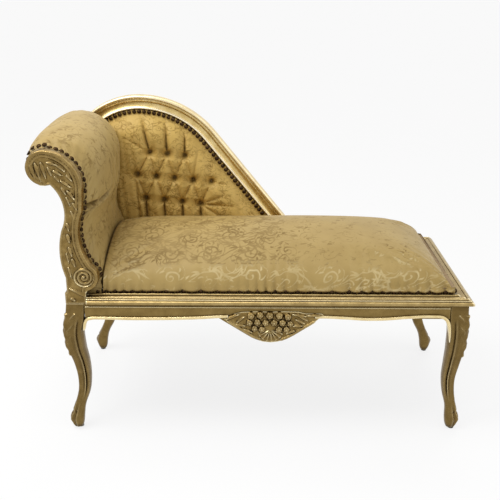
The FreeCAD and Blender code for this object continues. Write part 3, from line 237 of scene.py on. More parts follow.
def carved_leg(name, x, y, side_x, side_y, knee, ankle, toe, splay):
    """One leg: rounded square rings from the sole to the block, with the carving as relief."""
    heights = np.concatenate([np.linspace(LEG_SOLE, 70, 46), np.linspace(71.5, 185, 40),
                              np.linspace(187, LEG_TOP, 70)])
    out_x = eased([(LEG_SOLE, toe + splay), (30, toe + splay), (60, toe * 0.5 + splay * 0.7),
                   (90, ankle * 0.5 + splay * 0.35), (122, ankle), (165, ankle * 0.35), (205, knee * 0.7),
                   (250, knee), (280, knee * 0.4), (LEG_TOP, 0)], heights)
    out_y = eased([(LEG_SOLE, toe * 0.8), (30, toe * 0.8), (60, toe * 0.4), (90, ankle * 0.5), (122, ankle),
                   (165, ankle * 0.35), (205, knee * 0.6), (250, knee * 0.8), (280, knee * 0.3),
                   (LEG_TOP, 0)], heights)
    half = eased([(LEG_SOLE, 9.0), (10, 11.5), (22, 14.0), (36, 14.2), (52, 12.6), (85, 13.6), (122, 15.0),
                  (165, 17.6), (205, 20.3), (250, 22.2), (276, 21.0), (LEG_TOP, 20)], heights)
    square = eased([(LEG_SOLE, 2.2), (60, 2.4), (122, 2.8), (205, 3.0), (262, 4.0), (284, 9.0),
                    (LEG_TOP, 12.0)], heights)
    angle = np.linspace(0, 2 * math.pi, LEG_SIDES, endpoint=False)
    turn = np.abs(np.angle(np.exp(1j * (angle - math.atan2(side_y, side_x)))))
    points = []
    for z, dx, dy, width, power in zip(heights, out_x, out_y, half, square):
        reach = width / (np.abs(np.cos(angle)) ** power + np.abs(np.sin(angle)) ** power) ** (1 / power)
        down = (KNEE_LEAF_TOP - z) / KNEE_LEAF_LENGTH
        # Leaf over the knee, with ribs and a midrib.
        if 0 < down < 1:
            leaf_angle = 0.92 * (1 - down) ** 0.5 * (0.8 + 0.2 * math.cos(8 * math.pi * down))
            in_leaf = share_of(leaf_angle - turn, 0.12)
            ribs = np.cos(2 * math.pi * (4 * down + 1.1 * turn))
            reach = reach + in_leaf * (1.4 + 1.4 * ribs) + 1.4 * bell(turn, 0.11) * in_leaf
        # Arris down the shaft, and two flutes and a raised border on each side of it.
        arris = share_of(SHAFT_TOP - z, 30) * share_of(z - 40, 30)
        flutes = share_of(z - 64, 40) * share_of(288 - z, 20)
        reach = reach + arris * 0.9 * bell(turn, 0.2) + flutes * 1.6 * bell(turn - 1.52, 0.15)
        reach = reach - flutes * (3.0 * bell(turn - 1.2, 0.1) + 2.2 * bell(turn - 0.74, 0.15))
        # Toe with its cuts, a roll and a groove over it.
        if z < TOE_TOP:
            front = np.clip(1.3 - turn, 0, 1)
            toe_cuts = math.sin(math.pi * z / TOE_TOP) ** 0.7 * (2.3 * np.cos(9 * turn) + 1.2)
            reach = reach + front * (toe_cuts + 2.4 * bell(z - 28, 7) - 2.6 * bell(z - 43, 3))
        ring_x = x + side_x * dx + reach * np.cos(angle)
        ring_y = y + side_y * dy + reach * np.sin(angle)
        points.append(np.column_stack([ring_x, ring_y, np.full(LEG_SIDES, z)]))
    add_piece("carved_" + name, np.concatenate(points), skin(len(heights), LEG_SIDES, True, True), leg_gilt,
              (name,))


LEG_LEFT = -395.85
LEG_RIGHT = 440.15
LEG_BACK = 188
carved_leg("front_left_leg", LEG_LEFT, -LEG_BACK, -1, -1, knee=8, ankle=-5, toe=13, splay=0)
carved_leg("front_right_leg", LEG_RIGHT, -LEG_BACK, 1, -1, knee=3, ankle=-5, toe=7, splay=0)
carved_leg("rear_left_leg", LEG_LEFT, LEG_BACK, -1, 1, knee=5, ankle=-5, toe=10, splay=18)
carved_leg("rear_right_leg", LEG_RIGHT, LEG_BACK, 1, 1, knee=5, ankle=-5, toe=10, splay=18)

# Foot glides, pegs, screws and corner blocks. Plain beech and steel inside the frame, and a small
# dark disc under each foot. The solids keep their own shapes and get their finishes here.


def dress(names, material):
    """Gives solids of the frame a finish."""
    for name in names:
        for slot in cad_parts[name].material_slots:
            slot.material = material


def timber(name, light, dark):
    """Unfinished beech with a straight grain."""
    material, tree, shader, place = new_finish(name)
    along = add_node(tree, "ShaderNodeMapping", Vector=place, Scale=(6.0, 60.0, 60.0))
    figure = grain(tree, along.outputs["Vector"], 3.0, 6.0)
    feed(tree, shader, Base_Color=colour_ramp(tree, figure, [(0.3, dark), (0.7, light)]),
         Roughness=spread(tree, figure, 0.3, 0.7, 0.75, 0.55))
    raise_surface(tree, shader, [(figure, 0.2, 0.0005)])
    return material


def metal(name, light, dark, low, high):
    """Worn metal with patches of tarnish."""
    material, tree, shader, place = new_finish(name)
    patches = grain(tree, place, 160.0, 4.0)
    feed(tree, shader, Base_Color=colour_ramp(tree, patches, [(0.35, dark), (0.65, light)]), Metallic=0.95,
         Roughness=spread(tree, patches, 0.3, 0.7, low, high))
    raise_surface(tree, shader, [(patches, 0.1, 0.0003)])
    return material


raw_beech = timber("raw_beech", (0.55, 0.37, 0.20), (0.40, 0.25, 0.12))
screw_steel = metal("screw_steel", (0.45, 0.44, 0.42), (0.25, 0.24, 0.22), 0.3, 0.5)
glide_horn = timber("glide_horn", (0.05, 0.04, 0.035), (0.02, 0.018, 0.015))
dress(["leg_dowels", "post_dowels", "crest_dowel", "corner_blocks", "arm_roll_core", "arm_tack_rail",
       "back_board"], raw_beech)
dress(["corner_block_screws"], screw_steel)
dress(["foot_glides"], glide_horn)

# Aprons and seat rails. Gilded beech boards under a rail with three reeds along its top. A thin astragal
# and a lower bead run along the front board, and the bead turns down on the legs and tapers out.
# Painted light: the rail's gold leaf is lighter than the rest of the frame, for the light on its upward
# faces.
rail_lit_gilt = gilding("rail_gold_leaf_painted_light", ((0.075, 0.045, 0.012), (0.26, 0.175, 0.06), (0.37, 0.26, 0.095),
                                       (0.52, 0.385, 0.165), (0.90, 0.78, 0.50)),
                    rubbed_and_highlight_width=0.003, uneven=0.02, smoothest=0.26, roughest=0.36)
board_gilt = gilding("board_gold_leaf", ((0.04, 0.022, 0.005), (0.19, 0.122, 0.036), (0.25, 0.166, 0.052),
                                         (0.33, 0.226, 0.078), (0.36, 0.25, 0.09)),
                     rubbed_and_highlight_width=0.002, uneven=0.08, smoothest=0.24, roughest=0.36)
dress(["apron_front", "apron_rear", "apron_foot", "apron_head", "back_bottom_rail"], board_gilt)
dress(["seat_rail_front", "seat_rail_rear", "seat_rail_foot", "seat_rail_head"], rail_lit_gilt)
# Painted highlight: the lower bead's gold leaf is much lighter than the rest of the frame, for the light it
# catches.
bead_highlight_gilt = gilding("bead_gold_leaf_painted_highlight", ((0.15, 0.10, 0.03), (0.64, 0.48, 0.21), (0.84, 0.67, 0.34),
                                       (0.95, 0.82, 0.50), (1.0, 0.94, 0.72)),
                    rubbed_and_highlight_width=0.003, uneven=0.03, smoothest=0.2, roughest=0.32)
APRON_FACE = -206.0
ASTRAGAL_Z = 305.0
BEAD_TURN = 268.0
BEAD_TAPER = 44.0


def run_moulding(path, out, profile):
    """Points and faces of a profile run along a path: profile pairs are (across the path, outward)."""
    path = np.asarray(path, float)
    out = np.asarray(out, float)
    along = np.gradient(path, axis=0)
    along /= np.linalg.norm(along, axis=1)[:, None]
    across = np.cross(out, along)
    profile = np.asarray(profile, float)
    points = (path[:, None, :] + across[:, None, :] * profile[None, :, 0, None]
              + out[None, None, :] * profile[None, :, 1, None])
    return points.reshape(-1, 3), skin(len(path), len(profile), True, True)


def half_round(width, height, back=1.5):
    """Profile of a half round bead with a flat back."""
    rounded = [(width / 2 * math.cos(a), height * math.sin(a)) for a in np.linspace(0, math.pi, 9)]
    return rounded + [(-width / 2, -back), (width / 2, -back)]


front = (0, -1, 0)
astragal_path = [(x, APRON_FACE, ASTRAGAL_Z) for x in np.linspace(-374.0, 419.0, 60)]
points, faces = run_moulding(astragal_path, front, half_round(width=3.4, height=1.8))
add_piece("apron_astragal", points, faces, gilt)
LEFT_BEAD = [(-381, 250), (-379, 264), (-373, 275), (-361, 278.6), (-342, 279), (-278, 278), (-191, 278.8),
             (-125, 281), (-77, 284), (-64, 284)]
RIGHT_BEAD = [(126, 284), (146, 284), (192, 282), (235, 279.4), (279, 280), (333, 284.5), (384, 286.4),
              (405, 284.5), (416, 276), (421.5, 262), (424, 246), (425, 224)]
for label, knots in (("left", LEFT_BEAD), ("right", RIGHT_BEAD)):
    knots = np.array(knots, float)
    length = np.concatenate([[0], np.cumsum(np.hypot(*np.diff(knots, axis=0).T))])
    at = np.linspace(0, length[-1], 90)
    bend_x = eased(np.column_stack([length, knots[:, 0]]), at)
    bend_z = eased(np.column_stack([length, knots[:, 1]]), at)
    depth = np.where((bend_x < -377) | (bend_x > 418), APRON_FACE - 1.0, APRON_FACE)
    bead_path = np.column_stack([bend_x, depth, bend_z])
    points, faces = run_moulding(bead_path, front, half_round(width=8.2, height=4.4, back=12.0))
    ring = len(points) // len(bend_x)
    thinner = 0.75 * share_of(BEAD_TURN - np.repeat(bend_z, ring), BEAD_TAPER)
    points[:, 0] += (np.repeat(bend_x, ring) - points[:, 0]) * thinner
    points[:, 1] += np.clip(APRON_FACE - 1.0 - points[:, 1], 0, None) * thinner
    add_piece("apron_bead_" + label, points, faces, bead_highlight_gilt)

RAIL_TOP = 326.0
RAIL_FACE = 208.0
RAIL_END = 460.15


def mitred_reed(start, end, width, height, turn_start, turn_end):
    """Half round reed on the rail between two plan points, with its ends cut for a mitre or square."""
    start = np.array(start, float)
    run = np.array(end, float) - start
    along = run / np.hypot(*run)
    count = max(2, int(np.hypot(*run) / 12))
    path = [(*start + run * i / count, RAIL_TOP) for i in range(count + 1)]
    points, faces = run_moulding(path, (0, 0, 1), half_round(width, height, back=6.0))
    ring = len(points) // (count + 1)
    across = np.array([-along[1], along[0]])
    for first, turn, corner in ((0, turn_start, start), (len(points) - ring, turn_end, end)):
        offset = (points[first:first + ring, :2] - np.array(corner)) @ across
        points[first:first + ring, :2] += np.outer(offset * turn, along)
    return points, faces


def shifted(faces, by):
    """The same faces on points that come later in a list."""
    return [tuple(by + i for i in face) for face in faces]


OUTER_REED = (2.5, 6.0, 2.2)
CREST_TAIL_X = 166.0
points = []
faces = []
for reed in (OUTER_REED, (10.5, 8.0, 1.8), (20.0, 7.6, 4.2)):
    setback, width, height = reed
    near = -(RAIL_FACE - setback)
    far_x = RAIL_END - setback
    runs = [((HEAD_X + 46.0, near), (far_x, near), 0, -1), ((far_x, -near), (CREST_TAIL_X, -near), 1, 0)]
    if reed == OUTER_REED:
        runs.append(((far_x, near), (far_x, -near), 1, -1))
    for start, end, turn_start, turn_end in runs:
        run_points, run_faces = mitred_reed(start, end, width, height, turn_start, turn_end)
        faces += shifted(run_faces, len(points))
        points += list(run_points)
add_piece("rail_reeds", points, faces, rail_lit_gilt, (), crease=50.0)

# Apron cartouche. A cluster of blossoms between curled leaves over a small shell, carved in one piece
# and glued to the face of the front board.


OUTLINE_STEP = 1.3


def arc_points(start, end, radius, side):
    """Points along an arc between two plan points without the last; side 1 bulges left of travel."""
    a = np.array(start, float)
    b = np.array(end, float)
    chord = b - a
    half_chord = np.hypot(*chord) / 2
    left = np.array([-chord[1], chord[0]]) / (2 * half_chord)
    centre = (a + b) / 2 - left * side * math.sqrt(max(radius ** 2 - half_chord ** 2, 0))
    from_angle = math.atan2(*(a - centre)[::-1])
    sweep = 2 * math.asin(min(1.0, half_chord / radius)) * -side
    count = max(2, int(abs(sweep) * radius / OUTLINE_STEP))
    angles = from_angle + sweep * np.arange(count) / count
    return [(centre[0] + radius * math.cos(t), centre[1] + radius * math.sin(t)) for t in angles]


def line_points(start, end, step=OUTLINE_STEP):
    """Points along a straight line without the last."""
    count = max(1, int(math.dist(start, end) / step))
    return [tuple(np.array(start) + (np.array(end) - np.array(start)) * i / count) for i in range(count)]


def finder(samples):
    """Tree that finds the nearest of some samples by their first two values."""
    tree = kdtree.KDTree(len(samples))
    for index, sample in enumerate(samples):
        tree.insert((sample[0], sample[1], 0), index)
    tree.balance()
    return tree


def nearest_distance(samples, x, z):
    """Distance of every (x, z) place from a row of sample points."""
    tree = finder(samples)
    return np.array([tree.find((a, b, 0))[2] for a, b in zip(x, z)])


def filled_outline(outline, spacing):
    """Triangles filling a closed outline with an even scatter of points inside it."""
    edge = np.array(outline)
    low = edge.min(axis=0)
    high = edge.max(axis=0)
    rows = np.arange(low[1] + spacing, high[1], spacing * 0.87)
    scatter = []
    for index, row in enumerate(rows):
        shift = spacing / 2 * (index % 2)
        scatter += [(x, row) for x in np.arange(low[0] + spacing + shift, high[0], spacing)]
    scatter = np.array(scatter)
    after = np.roll(edge, -1, axis=0)
    inside = np.zeros(len(scatter), bool)
    for (ax, az), (bx, bz) in zip(edge, after):
        crosses = (az > scatter[:, 1]) != (bz > scatter[:, 1])
        if az != bz:
            inside ^= crosses & (scatter[:, 0] < (bx - ax) * (scatter[:, 1] - az) / (bz - az) + ax)
    scatter = scatter[inside]
    scatter = scatter[nearest_distance(outline, scatter[:, 0], scatter[:, 1]) > spacing * 0.6]
    plan = [Vector(p) for p in edge] + [Vector(p) for p in scatter]
    count = len(edge)
    rim = [(i, (i + 1) % count) for i in range(count)]
    flat, _, faces, _, _, _ = geometry.delaunay_2d_cdt(plan, rim, [], 1, 0.001)
    return np.array([tuple(p) for p in flat]), [tuple(f) for f in faces]


def carved_panel(outline, spacing, relief, face_y, back_y):
    """Closed panel with a carved front: relief gives how far each (x, z) stands out from face_y."""
    flat, faces = filled_outline(outline, spacing)
    toward = 1 if face_y > back_y else -1
    depth = relief(flat[:, 0], flat[:, 1])
    front_points = np.column_stack([flat[:, 0], face_y + toward * depth, flat[:, 1]])
    edge_use = {}
    for face in faces:
        for a, b in zip(face, face[1:] + face[:1]):
            key = (min(a, b), max(a, b))
            edge_use[key] = None if key in edge_use else (a, b)
    rim = [pair for pair in edge_use.values() if pair]
    rim_index = {}
    back_points = []
    for a, _ in rim:
        rim_index[a] = len(flat) + len(back_points)
        back_points.append((flat[a][0], back_y, flat[a][1]))
    following = dict(rim)
    order = [rim[0][0]]
    while following[order[-1]] != order[0]:
        order.append(following[order[-1]])
    walls = [(b, a, rim_index[a], rim_index[b]) for a, b in rim]
    return np.concatenate([front_points, back_points]), faces + walls + [tuple(rim_index[a] for a in order)]


def stroke(x, z, start, end, width, height, blunt=0.6):
    """Leaf stroke of a gouge: a ridge with a round head that tapers to its tip."""
    a = np.array(start, float)
    run = np.array(end, float) - a
    length = np.hypot(*run)
    run /= length
    t = ((x - a[0]) * run[0] + (z - a[1]) * run[1]) / length
    b = np.abs((x - a[0]) * run[1] - (z - a[1]) * run[0])
    body = np.clip(t, 0, 1)
    half_width = width / 2 * np.sin(math.pi * np.clip(body, 0.001, 0.999) ** blunt)
    ridge = np.sqrt(np.clip(1 - (b / np.maximum(half_width, 0.05)) ** 2, 0, 1))
    return np.where((t > 0) & (t < 1), height * ridge, 0.0)


def ridge_along(samples, x, z, width, height):
    """Half round ridge along a row of points."""
    d = nearest_distance(samples, x, z)
    return height * np.sqrt(np.clip(1 - (d / (width / 2)) ** 2, 0, 1))


BLOSSOMS = [(-14, 286, 9.5), (6, 288, 9.5), (27, 287, 10), (48, 287, 9.5), (67, 284, 9), (-17, 270, 8.5),
            (0, 271, 9), (18, 270, 9), (37, 270, 9), (55, 270, 9), (72, 268, 8), (-6, 256, 8),
            (10, 254, 8.5), (48, 254, 8.5), (64, 254, 8)]
SHELL_AT = (29, 254)


def cartouche_relief(x, z):
    """Blossoms, leaves, side scrolls and shell of the cartouche."""
    height = np.full_like(x, 1.0)
    left_band = [(-64, 273), (-50, 264), (-38, 256), (-22, 245), (-8, 236), (6, 230)]
    right_band = [(124, 272), (108, 262), (94, 253), (78, 242), (64, 234), (52, 229)]
    for band in (left_band, right_band):
        samples = []
        for a, b in zip(band, band[1:]):
            samples += line_points(a, b)
        height = np.maximum(height, ridge_along(samples, x, z, 7.5, 4.5))
    for start, end, width, rise in (((-70, 277), (-36, 292), 9, 5.0), ((-46, 270), (-26, 286), 8, 4.5),
                                    ((-48, 266), (-24, 262), 9, 4.5), ((-30, 255), (-8, 245), 8, 4.5),
                                    ((142, 287), (104, 288), 8, 4.8), ((108, 285), (74, 291), 9, 5.0),
                                    ((104, 268), (80, 280), 8, 4.5), ((100, 263), (76, 262), 9, 4.5),
                                    ((84, 252), (62, 244), 8, 4.5), ((112, 274), (86, 288), 7, 4.2)):
        height = np.maximum(height, stroke(x, z, start, end, width, rise, 0.8))
    for index, (cx, cz, radius) in enumerate(BLOSSOMS):
        r = np.hypot(x - cx, z - cz)
        theta = np.arctan2(z - cz, x - cx)
        dome = np.sqrt(np.clip(1 - (r / radius) ** 2, 0, 1))
        scallop = 0.5 - 0.5 * np.cos(5 * theta + index * 1.3)
        petals = 1 - 0.3 * np.clip(r / radius * 1.6 - 0.4, 0, 1) * scallop
        cup = 1 - 0.22 * bell(r - 3.2, 1.2)
        height = np.maximum(height, 8.2 * dome * petals * cup)
    r = np.hypot(x - SHELL_AT[0], z - SHELL_AT[1])
    theta = np.arctan2(SHELL_AT[1] - z, x - SHELL_AT[0])
    fan = np.where((theta > 0.3) & (theta < 2.84) & (r < 29), 3.4 + 1.3 * np.cos(17 * theta), 0)
    return np.maximum(height, fan * share_of(r, 8))


CARTOUCHE = [(-72, 278), (-66, 284), (-50, 291), (-34, 295), (0, 297), (29, 296), (57, 297), (90, 296),
             (106, 292), (140, 292), (146, 287), (136, 281), (124, 270), (108, 259), (94, 249), (78, 238),
             (62, 229), (45, 224), (29, 222), (12, 224), (-5, 230), (-22, 241), (-38, 252), (-52, 262),
             (-64, 271)]
outline = []
for a, b in zip(CARTOUCHE, CARTOUCHE[1:] + CARTOUCHE[:1]):
    outline += line_points(a, b, 1.5)
points, faces = carved_panel(outline, 1.3, cartouche_relief, APRON_FACE - 0.6, APRON_FACE + 10)
add_piece("carved_cartouche", points, faces, gilt, ("apron_cartouche",), crease=50.0)

# Arm posts. Two S shaped posts carry the rolled arm. The front one is carved with a double rim, leaf
# strokes in the scroll, a row of leaf tips and a volute; the rear one has the rim only.
SCROLL = (-22.0, 613.0)
VOLUTE = (43.5, 374.5)
POST_BELLY = arc_points((5, 373.5), (4, 481), 176, 1)
POST_HOLLOW = arc_points((4, 481), (-12, 578.4), 85, -1)
POST_SCROLL = arc_points((-12, 578.4), (-60, 613), 37.4, 1) + arc_points((-60, 613), (-22, 651), 38.05, 1)
POST_RIM = (arc_points((-22, 651), (53, 573), 81, 1) + line_points((53, 573), (49.5, 521))
            + arc_points((49.5, 521), (60, 399), 128, -1) + arc_points((60, 399), (74.5, 373), 30.6, 1)
            + arc_points((74.5, 373), (50, 343.5), 30.6, 1))
post_outline = (line_points((0.5, 313), (0.5, 338)) + line_points((0.5, 338), (5, 340))
                + line_points((5, 340), (5, 373.5)) + POST_BELLY + POST_HOLLOW + POST_SCROLL + POST_RIM
                + line_points((50, 344), (46, 338)) + line_points((46, 338), (46, 313))
                + line_points((46, 313), (0.5, 313)))
SCROLL_STROKES = [((-50, 622), (-40, 588), 9, 3.2), ((-40, 626), (-29, 583), 9, 3.4),
                  ((-28, 627), (-18, 588), 9, 3.4), ((-16, 626), (10, 619), 7.5, 3.8),
                  ((-14, 616), (-6, 594), 7, 3.0), ((-4, 609), (16, 597), 8, 3.8),
                  ((2, 622), (24, 604), 6.5, 3.2), ((-2, 597), (10, 583), 7, 3.0),
                  ((10, 588), (34, 571), 8, 4.0), ((22, 600), (36, 584), 6, 3.0),
                  ((22, 567), (38, 545), 8, 4.0), ((10, 574), (20, 556), 7, 3.0),
                  ((31, 542), (41, 522), 6.5, 3.4), ((19, 553), (27, 531), 6, 2.8),
                  ((26, 524), (33, 503), 5, 2.4)]
LEAF_TIPS = [((16, 497), (20, 476), 8, 3.2), ((15, 473), (20, 450), 9.5, 4.2),
             ((16, 444), (23, 420), 9.5, 4.2), ((21, 418), (28, 396), 9, 4.2),
             ((10, 430), (15, 404), 6, 2.6), ((12, 398), (18, 370), 7, 2.8)]
FOOT_STROKES = [((46, 330), (10, 349), 9, 3.2), ((12, 326), (24, 319), 8, 3.8)]
DOUBLE_RIM = [(0, 1.4), (1.2, 3.0), (4.0, 4.0), (7.2, 3.0), (8.4, 1.2), (10.0, 2.2), (12.2, 2.8),
              (14.2, 1.6), (16.0, 0)]
OUTER_BEAD = [(0, 0.4), (1.0, 1.8), (2.6, 2.4), (4.4, 1.4), (6.0, 0)]
VOLUTE_RADIUS = 21.5
POST_FACE = 207.4
POST_BACK = 186.2


def rim_relief(u, z):
    """Raised double rim along the upholstered edge, and a soft arris all round."""
    rim = np.interp(nearest_distance(POST_SCROLL[18:] + POST_RIM, u, z), *zip(*DOUBLE_RIM))
    return np.maximum(rim, np.interp(nearest_distance(post_outline, u, z), *zip(*OUTER_BEAD)))


def post_relief(u, z):
    """All the carving of the front post."""
    height = rim_relief(u, z)
    for start, end, width, rise in SCROLL_STROKES + LEAF_TIPS + FOOT_STROKES:
        height = np.maximum(height, stroke(u, z, start, end, width, rise))
    r = np.hypot(u - VOLUTE[0], z - VOLUTE[1])
    theta = np.arctan2(z - VOLUTE[1], u - VOLUTE[0])
    wind = 0.5 + 0.5 * np.cos(2 * math.pi * (r / 8.0 - theta / (2 * math.pi)))
    volute = 0.8 + 3.0 * wind ** 0.7 + 2.0 * bell(r, 3.2)
    return np.where(r < VOLUTE_RADIUS, volute, height)


def post_piece(name, relief, side):
    """Carved post and the block behind its foot, as one piece."""
    points, faces = carved_panel(post_outline, 1.4, relief, side * POST_FACE, side * POST_BACK)
    plan = ((0.5, 186), (46, 186), (46, 168), (0.5, 168))
    block = [(u, side * y, z) for z in (LEG_TOP + 0.2, 338.0) for u, y in plan]
    block_faces = ((0, 1, 2, 3), (4, 5, 6, 7), (0, 1, 5, 4), (1, 2, 6, 5), (2, 3, 7, 6), (3, 0, 4, 7))
    faces = faces + shifted(block_faces, len(points))
    points = np.concatenate([points, block])
    points[:, 0] += HEAD_X
    post = add_piece("carved_" + name, points, faces, gilt, (name,), crease=50.0)
    post.data.materials.append(board_gilt)
    for face in post.data.polygons[-len(block_faces):]:
        face.material_index = 1


post_piece("arm_post_front", post_relief, -1)
post_piece("arm_post_rear", rim_relief, 1)

# Crest. One moulded rail bent over the back from the rear post down to the seat rail: a round outer
# bead, a fillet, a wide cove and a small inner bead, with a step behind it for the nails.
# Painted highlight: the crest's gold leaf is much lighter and paler than the rest of the frame, for the
# light along its beads and top.
crest_highlight_gilt = gilding("crest_gold_leaf_painted_highlight", ((0.12, 0.062, 0.013), (0.54, 0.37, 0.12), (0.77, 0.58, 0.24),
                                         (0.93, 0.77, 0.43), (1.0, 0.96, 0.80)),
                     rubbed_and_highlight_width=0.007, uneven=0.1, smoothest=0.2, roughest=0.34)
PEAK_X = -296.25
CREST_TOP = 701.0
LEFT_RADIUS = 189.0
RIGHT_RADIUS = 245.0
FLARE_RADIUS = 110.0
FLARE_FROM = 371.0
FALL = math.radians(51)
BEHIND_ARM = -75.0
BACK_FACE = 189.0


def crest_line(inset, start, step=3.0):
    """(x, z) points of a line inside the outer edge of the crest, from a place left of its peak, given in
    degrees, to its tail."""
    line = []
    radius = LEFT_RADIUS - inset
    first = math.radians(start)
    for angle in np.linspace(first, 0, max(3, int(abs(first) * radius / step)), endpoint=False):
        line.append((PEAK_X + radius * math.sin(angle), CREST_TOP - LEFT_RADIUS + radius * math.cos(angle)))
    radius = RIGHT_RADIUS - inset
    for angle in np.linspace(0, FALL, int(FALL * radius / step)):
        line.append((PEAK_X + radius * math.sin(angle), CREST_TOP - RIGHT_RADIUS + radius * math.cos(angle)))
    fall_x, fall_z = line[-1]
    outer_x = PEAK_X + RIGHT_RADIUS * math.sin(FALL)
    outer_z = CREST_TOP - RIGHT_RADIUS + RIGHT_RADIUS * math.cos(FALL)
    run = (outer_z - FLARE_FROM) / math.sin(FALL)
    for share in np.linspace(0, run, int(run / step))[1:]:
        line.append((fall_x + share * math.cos(FALL), fall_z - share * math.sin(FALL)))
    centre_x = outer_x + run * math.cos(FALL) + FLARE_RADIUS * math.sin(FALL)
    centre_z = FLARE_FROM + FLARE_RADIUS * math.cos(FALL)
    radius = FLARE_RADIUS + inset
    for angle in np.linspace(FALL, math.radians(4), 24)[1:]:
        line.append((centre_x - radius * math.sin(angle), centre_z - radius * math.cos(angle)))
    return line


def round_points(centre, radius, from_degrees, to_degrees, count):
    """Points on part of a circle in a profile."""
    return [(centre[0] + radius * math.cos(math.radians(a)), centre[1] + radius * math.sin(math.radians(a)))
            for a in np.linspace(from_degrees, to_degrees, count)]


outer_bead = round_points((4.4, 1.6), 4.4, 180, 15, 11)
cove = round_points((20.4, 10.2), 12.2, 228, 312, 11)
inner_bead = round_points((31.2, 1.2), 2.7, 165, 0, 8)
crest_profile = ([(0, -20.8), (0, 1.5)] + outer_bead + [(9.0, 1.0), (12.4, 1.0)] + cove + inner_bead
                 + [(34, -4), (46, -4), (46, -20.8)])
crest_path = [(x, BACK_FACE, z) for x, z in crest_line(0, -43.0)]
points, faces = run_moulding(crest_path, front, [(-n, out) for n, out in crest_profile])
points[:, 2] = np.maximum(points[:, 2], RAIL_TOP + 0.2)
add_piece("moulded_crest", points, faces, crest_highlight_gilt, ("crest_rail",), crease=45.0)

# Arm pad. Hair and foam over the roll and down the inner side, covered in silk damask that is drawn
# over the roll, nailed to both posts and pulled into a deep fold above the seat. A short cloth
# simulation lets the cover out against its stuffing.
REPEAT = 352.0
SECOND_ACROSS = 0.21 * REPEAT
SECOND_ALONG = 0.46 * REPEAT
NAIL_PITCH = 12.4


def sprig(base, heading, length, bend, width):
    """Curved leaf stroke of the weave: (x, z, half width) along it."""
    t = np.linspace(0, 1, max(5, int(length)))
    angle = heading + bend * t[:-1]
    x = base[0] + np.concatenate([[0], np.cumsum(np.cos(angle))]) * length / (len(t) - 1)
    z = base[1] + np.concatenate([[0], np.cumsum(np.sin(angle))]) * length / (len(t) - 1)
    return list(zip(x, z, width * np.sin(math.pi * np.clip(t, 0.02, 0.98) ** 0.7)))


def volute_stroke(centre, outer, start, turns):
    """Stroke that winds inwards to a small knob."""
    t = np.linspace(0, 1, int(abs(turns) * outer * 4))
    radius = outer * 0.16 ** t
    angle = start + 2 * math.pi * turns * t
    half = np.interp(t, [0, 0.3, 0.85, 1], [0.8, 1.7, 0.9, 2.0])
    return list(zip(centre[0] + radius * np.cos(angle), centre[1] + radius * np.sin(angle), half))


def damask_strokes():
    """Strokes of one repeat of the weave: waving stems with volutes, hooks and sprays of leaves."""
    chance = np.random.default_rng(5)
    strokes = []
    wave = REPEAT / 2
    for row in range(5):
        level = (row + 0.5) * REPEAT / 5
        shift = wave / 2 * (row % 2) + chance.uniform(-30, 30)
        for x in np.arange(0, REPEAT, 1.0):
            strokes.append((x, level + 20 * math.sin(2 * math.pi * (x - shift) / wave), 0.8))
        for bend in range(4):
            side = 1 if bend % 2 == 0 else -1
            x = shift + wave * (bend + 0.5) / 2
            outer = chance.uniform(20, 29)
            top = np.array([x, level + side * 20])
            centre = top - (0, side * outer)
            strokes += volute_stroke(centre, outer, side * math.pi / 2, -side * chance.uniform(1.35, 1.7))
            turns = np.linspace(-0.3, 4.4, 130)
            rim = outer + 5.5 + 5.0 * np.abs(np.sin(1.7 * turns + chance.uniform(0, 3))) ** 0.8
            angle = side * (math.pi / 2 - turns)
            strokes += [(*place, 0.5) for place in zip(centre[0] + rim * np.cos(angle),
                                                       centre[1] + rim * np.sin(angle))]
            for turn in (1.3, 2.2, 3.1, 4.0):
                angle = side * (math.pi / 2 - turn)
                rim = centre + outer * 0.86 * np.array([math.cos(angle), math.sin(angle)])
                strokes += sprig(rim, angle - side * 0.5, outer * 0.5, -side * 1.2, 2.0)
            for lean, length in ((0.35, 30), (0.8, 27), (1.3, 23), (1.8, 18)):
                bend_back = -side * chance.uniform(0.5, 1.3)
                strokes += sprig(top + (chance.uniform(-8, 4), 0), side * lean, length, bend_back, 2.4)
            hook = np.array([x + wave / 4 + chance.uniform(-8, 8), level + side * chance.uniform(26, 40)])
            opening = chance.uniform(0, 2 * math.pi)
            for size, half in ((chance.uniform(27, 34), 0.9), (chance.uniform(18, 23), 0.6)):
                turns = opening + side * np.linspace(0, 3.7, 110)
                ring = size * (1 - 0.12 * np.linspace(0, 1, 110))
                strokes += [(*place, half) for place in zip(hook[0] + ring * np.cos(turns),
                                                            hook[1] + ring * np.sin(turns))]
            for turn in (0.5, 1.4, 2.3, 3.2):
                angle = opening + side * turn
                foot = hook + 30 * np.array([math.cos(angle), math.sin(angle)])
                strokes += sprig(foot, angle + side * 0.7, 15, side * 0.9, 1.9)
            for back in (0.4, 1.0):
                strokes += sprig(top + (-26, -side * 8), math.pi - side * back, 22, side * 1.4, 2.1)
    return [(x % REPEAT, z % REPEAT, half) for x, z, half in strokes]


def woven_places():
    """Places and half widths of the strokes in and just around one repeat."""
    margin = 8.0
    samples = []
    for x, z, half in damask_strokes():
        for shift_x in (-REPEAT, 0, REPEAT):
            for shift_z in (-REPEAT, 0, REPEAT):
                place = (x + shift_x, z + shift_z)
                if -margin < min(place) and max(place) < REPEAT + margin:
                    samples.append((*place, half))
    return samples


weave_samples = woven_places()
weave_finder = finder(weave_samples)


def from_figure(across, along):
    """Distance of each place of the cloth from the edge of the nearest woven stroke, in millimetres."""
    distances = []
    for x, z in zip(np.mod(across, REPEAT), np.mod(along, REPEAT)):
        _, index, gap = weave_finder.find((x, z, 0))
        distances.append(gap - weave_samples[index][2])
    return np.array(distances)


FOLD_SHADE_TONE = (0.13, 0.075, 0.016)


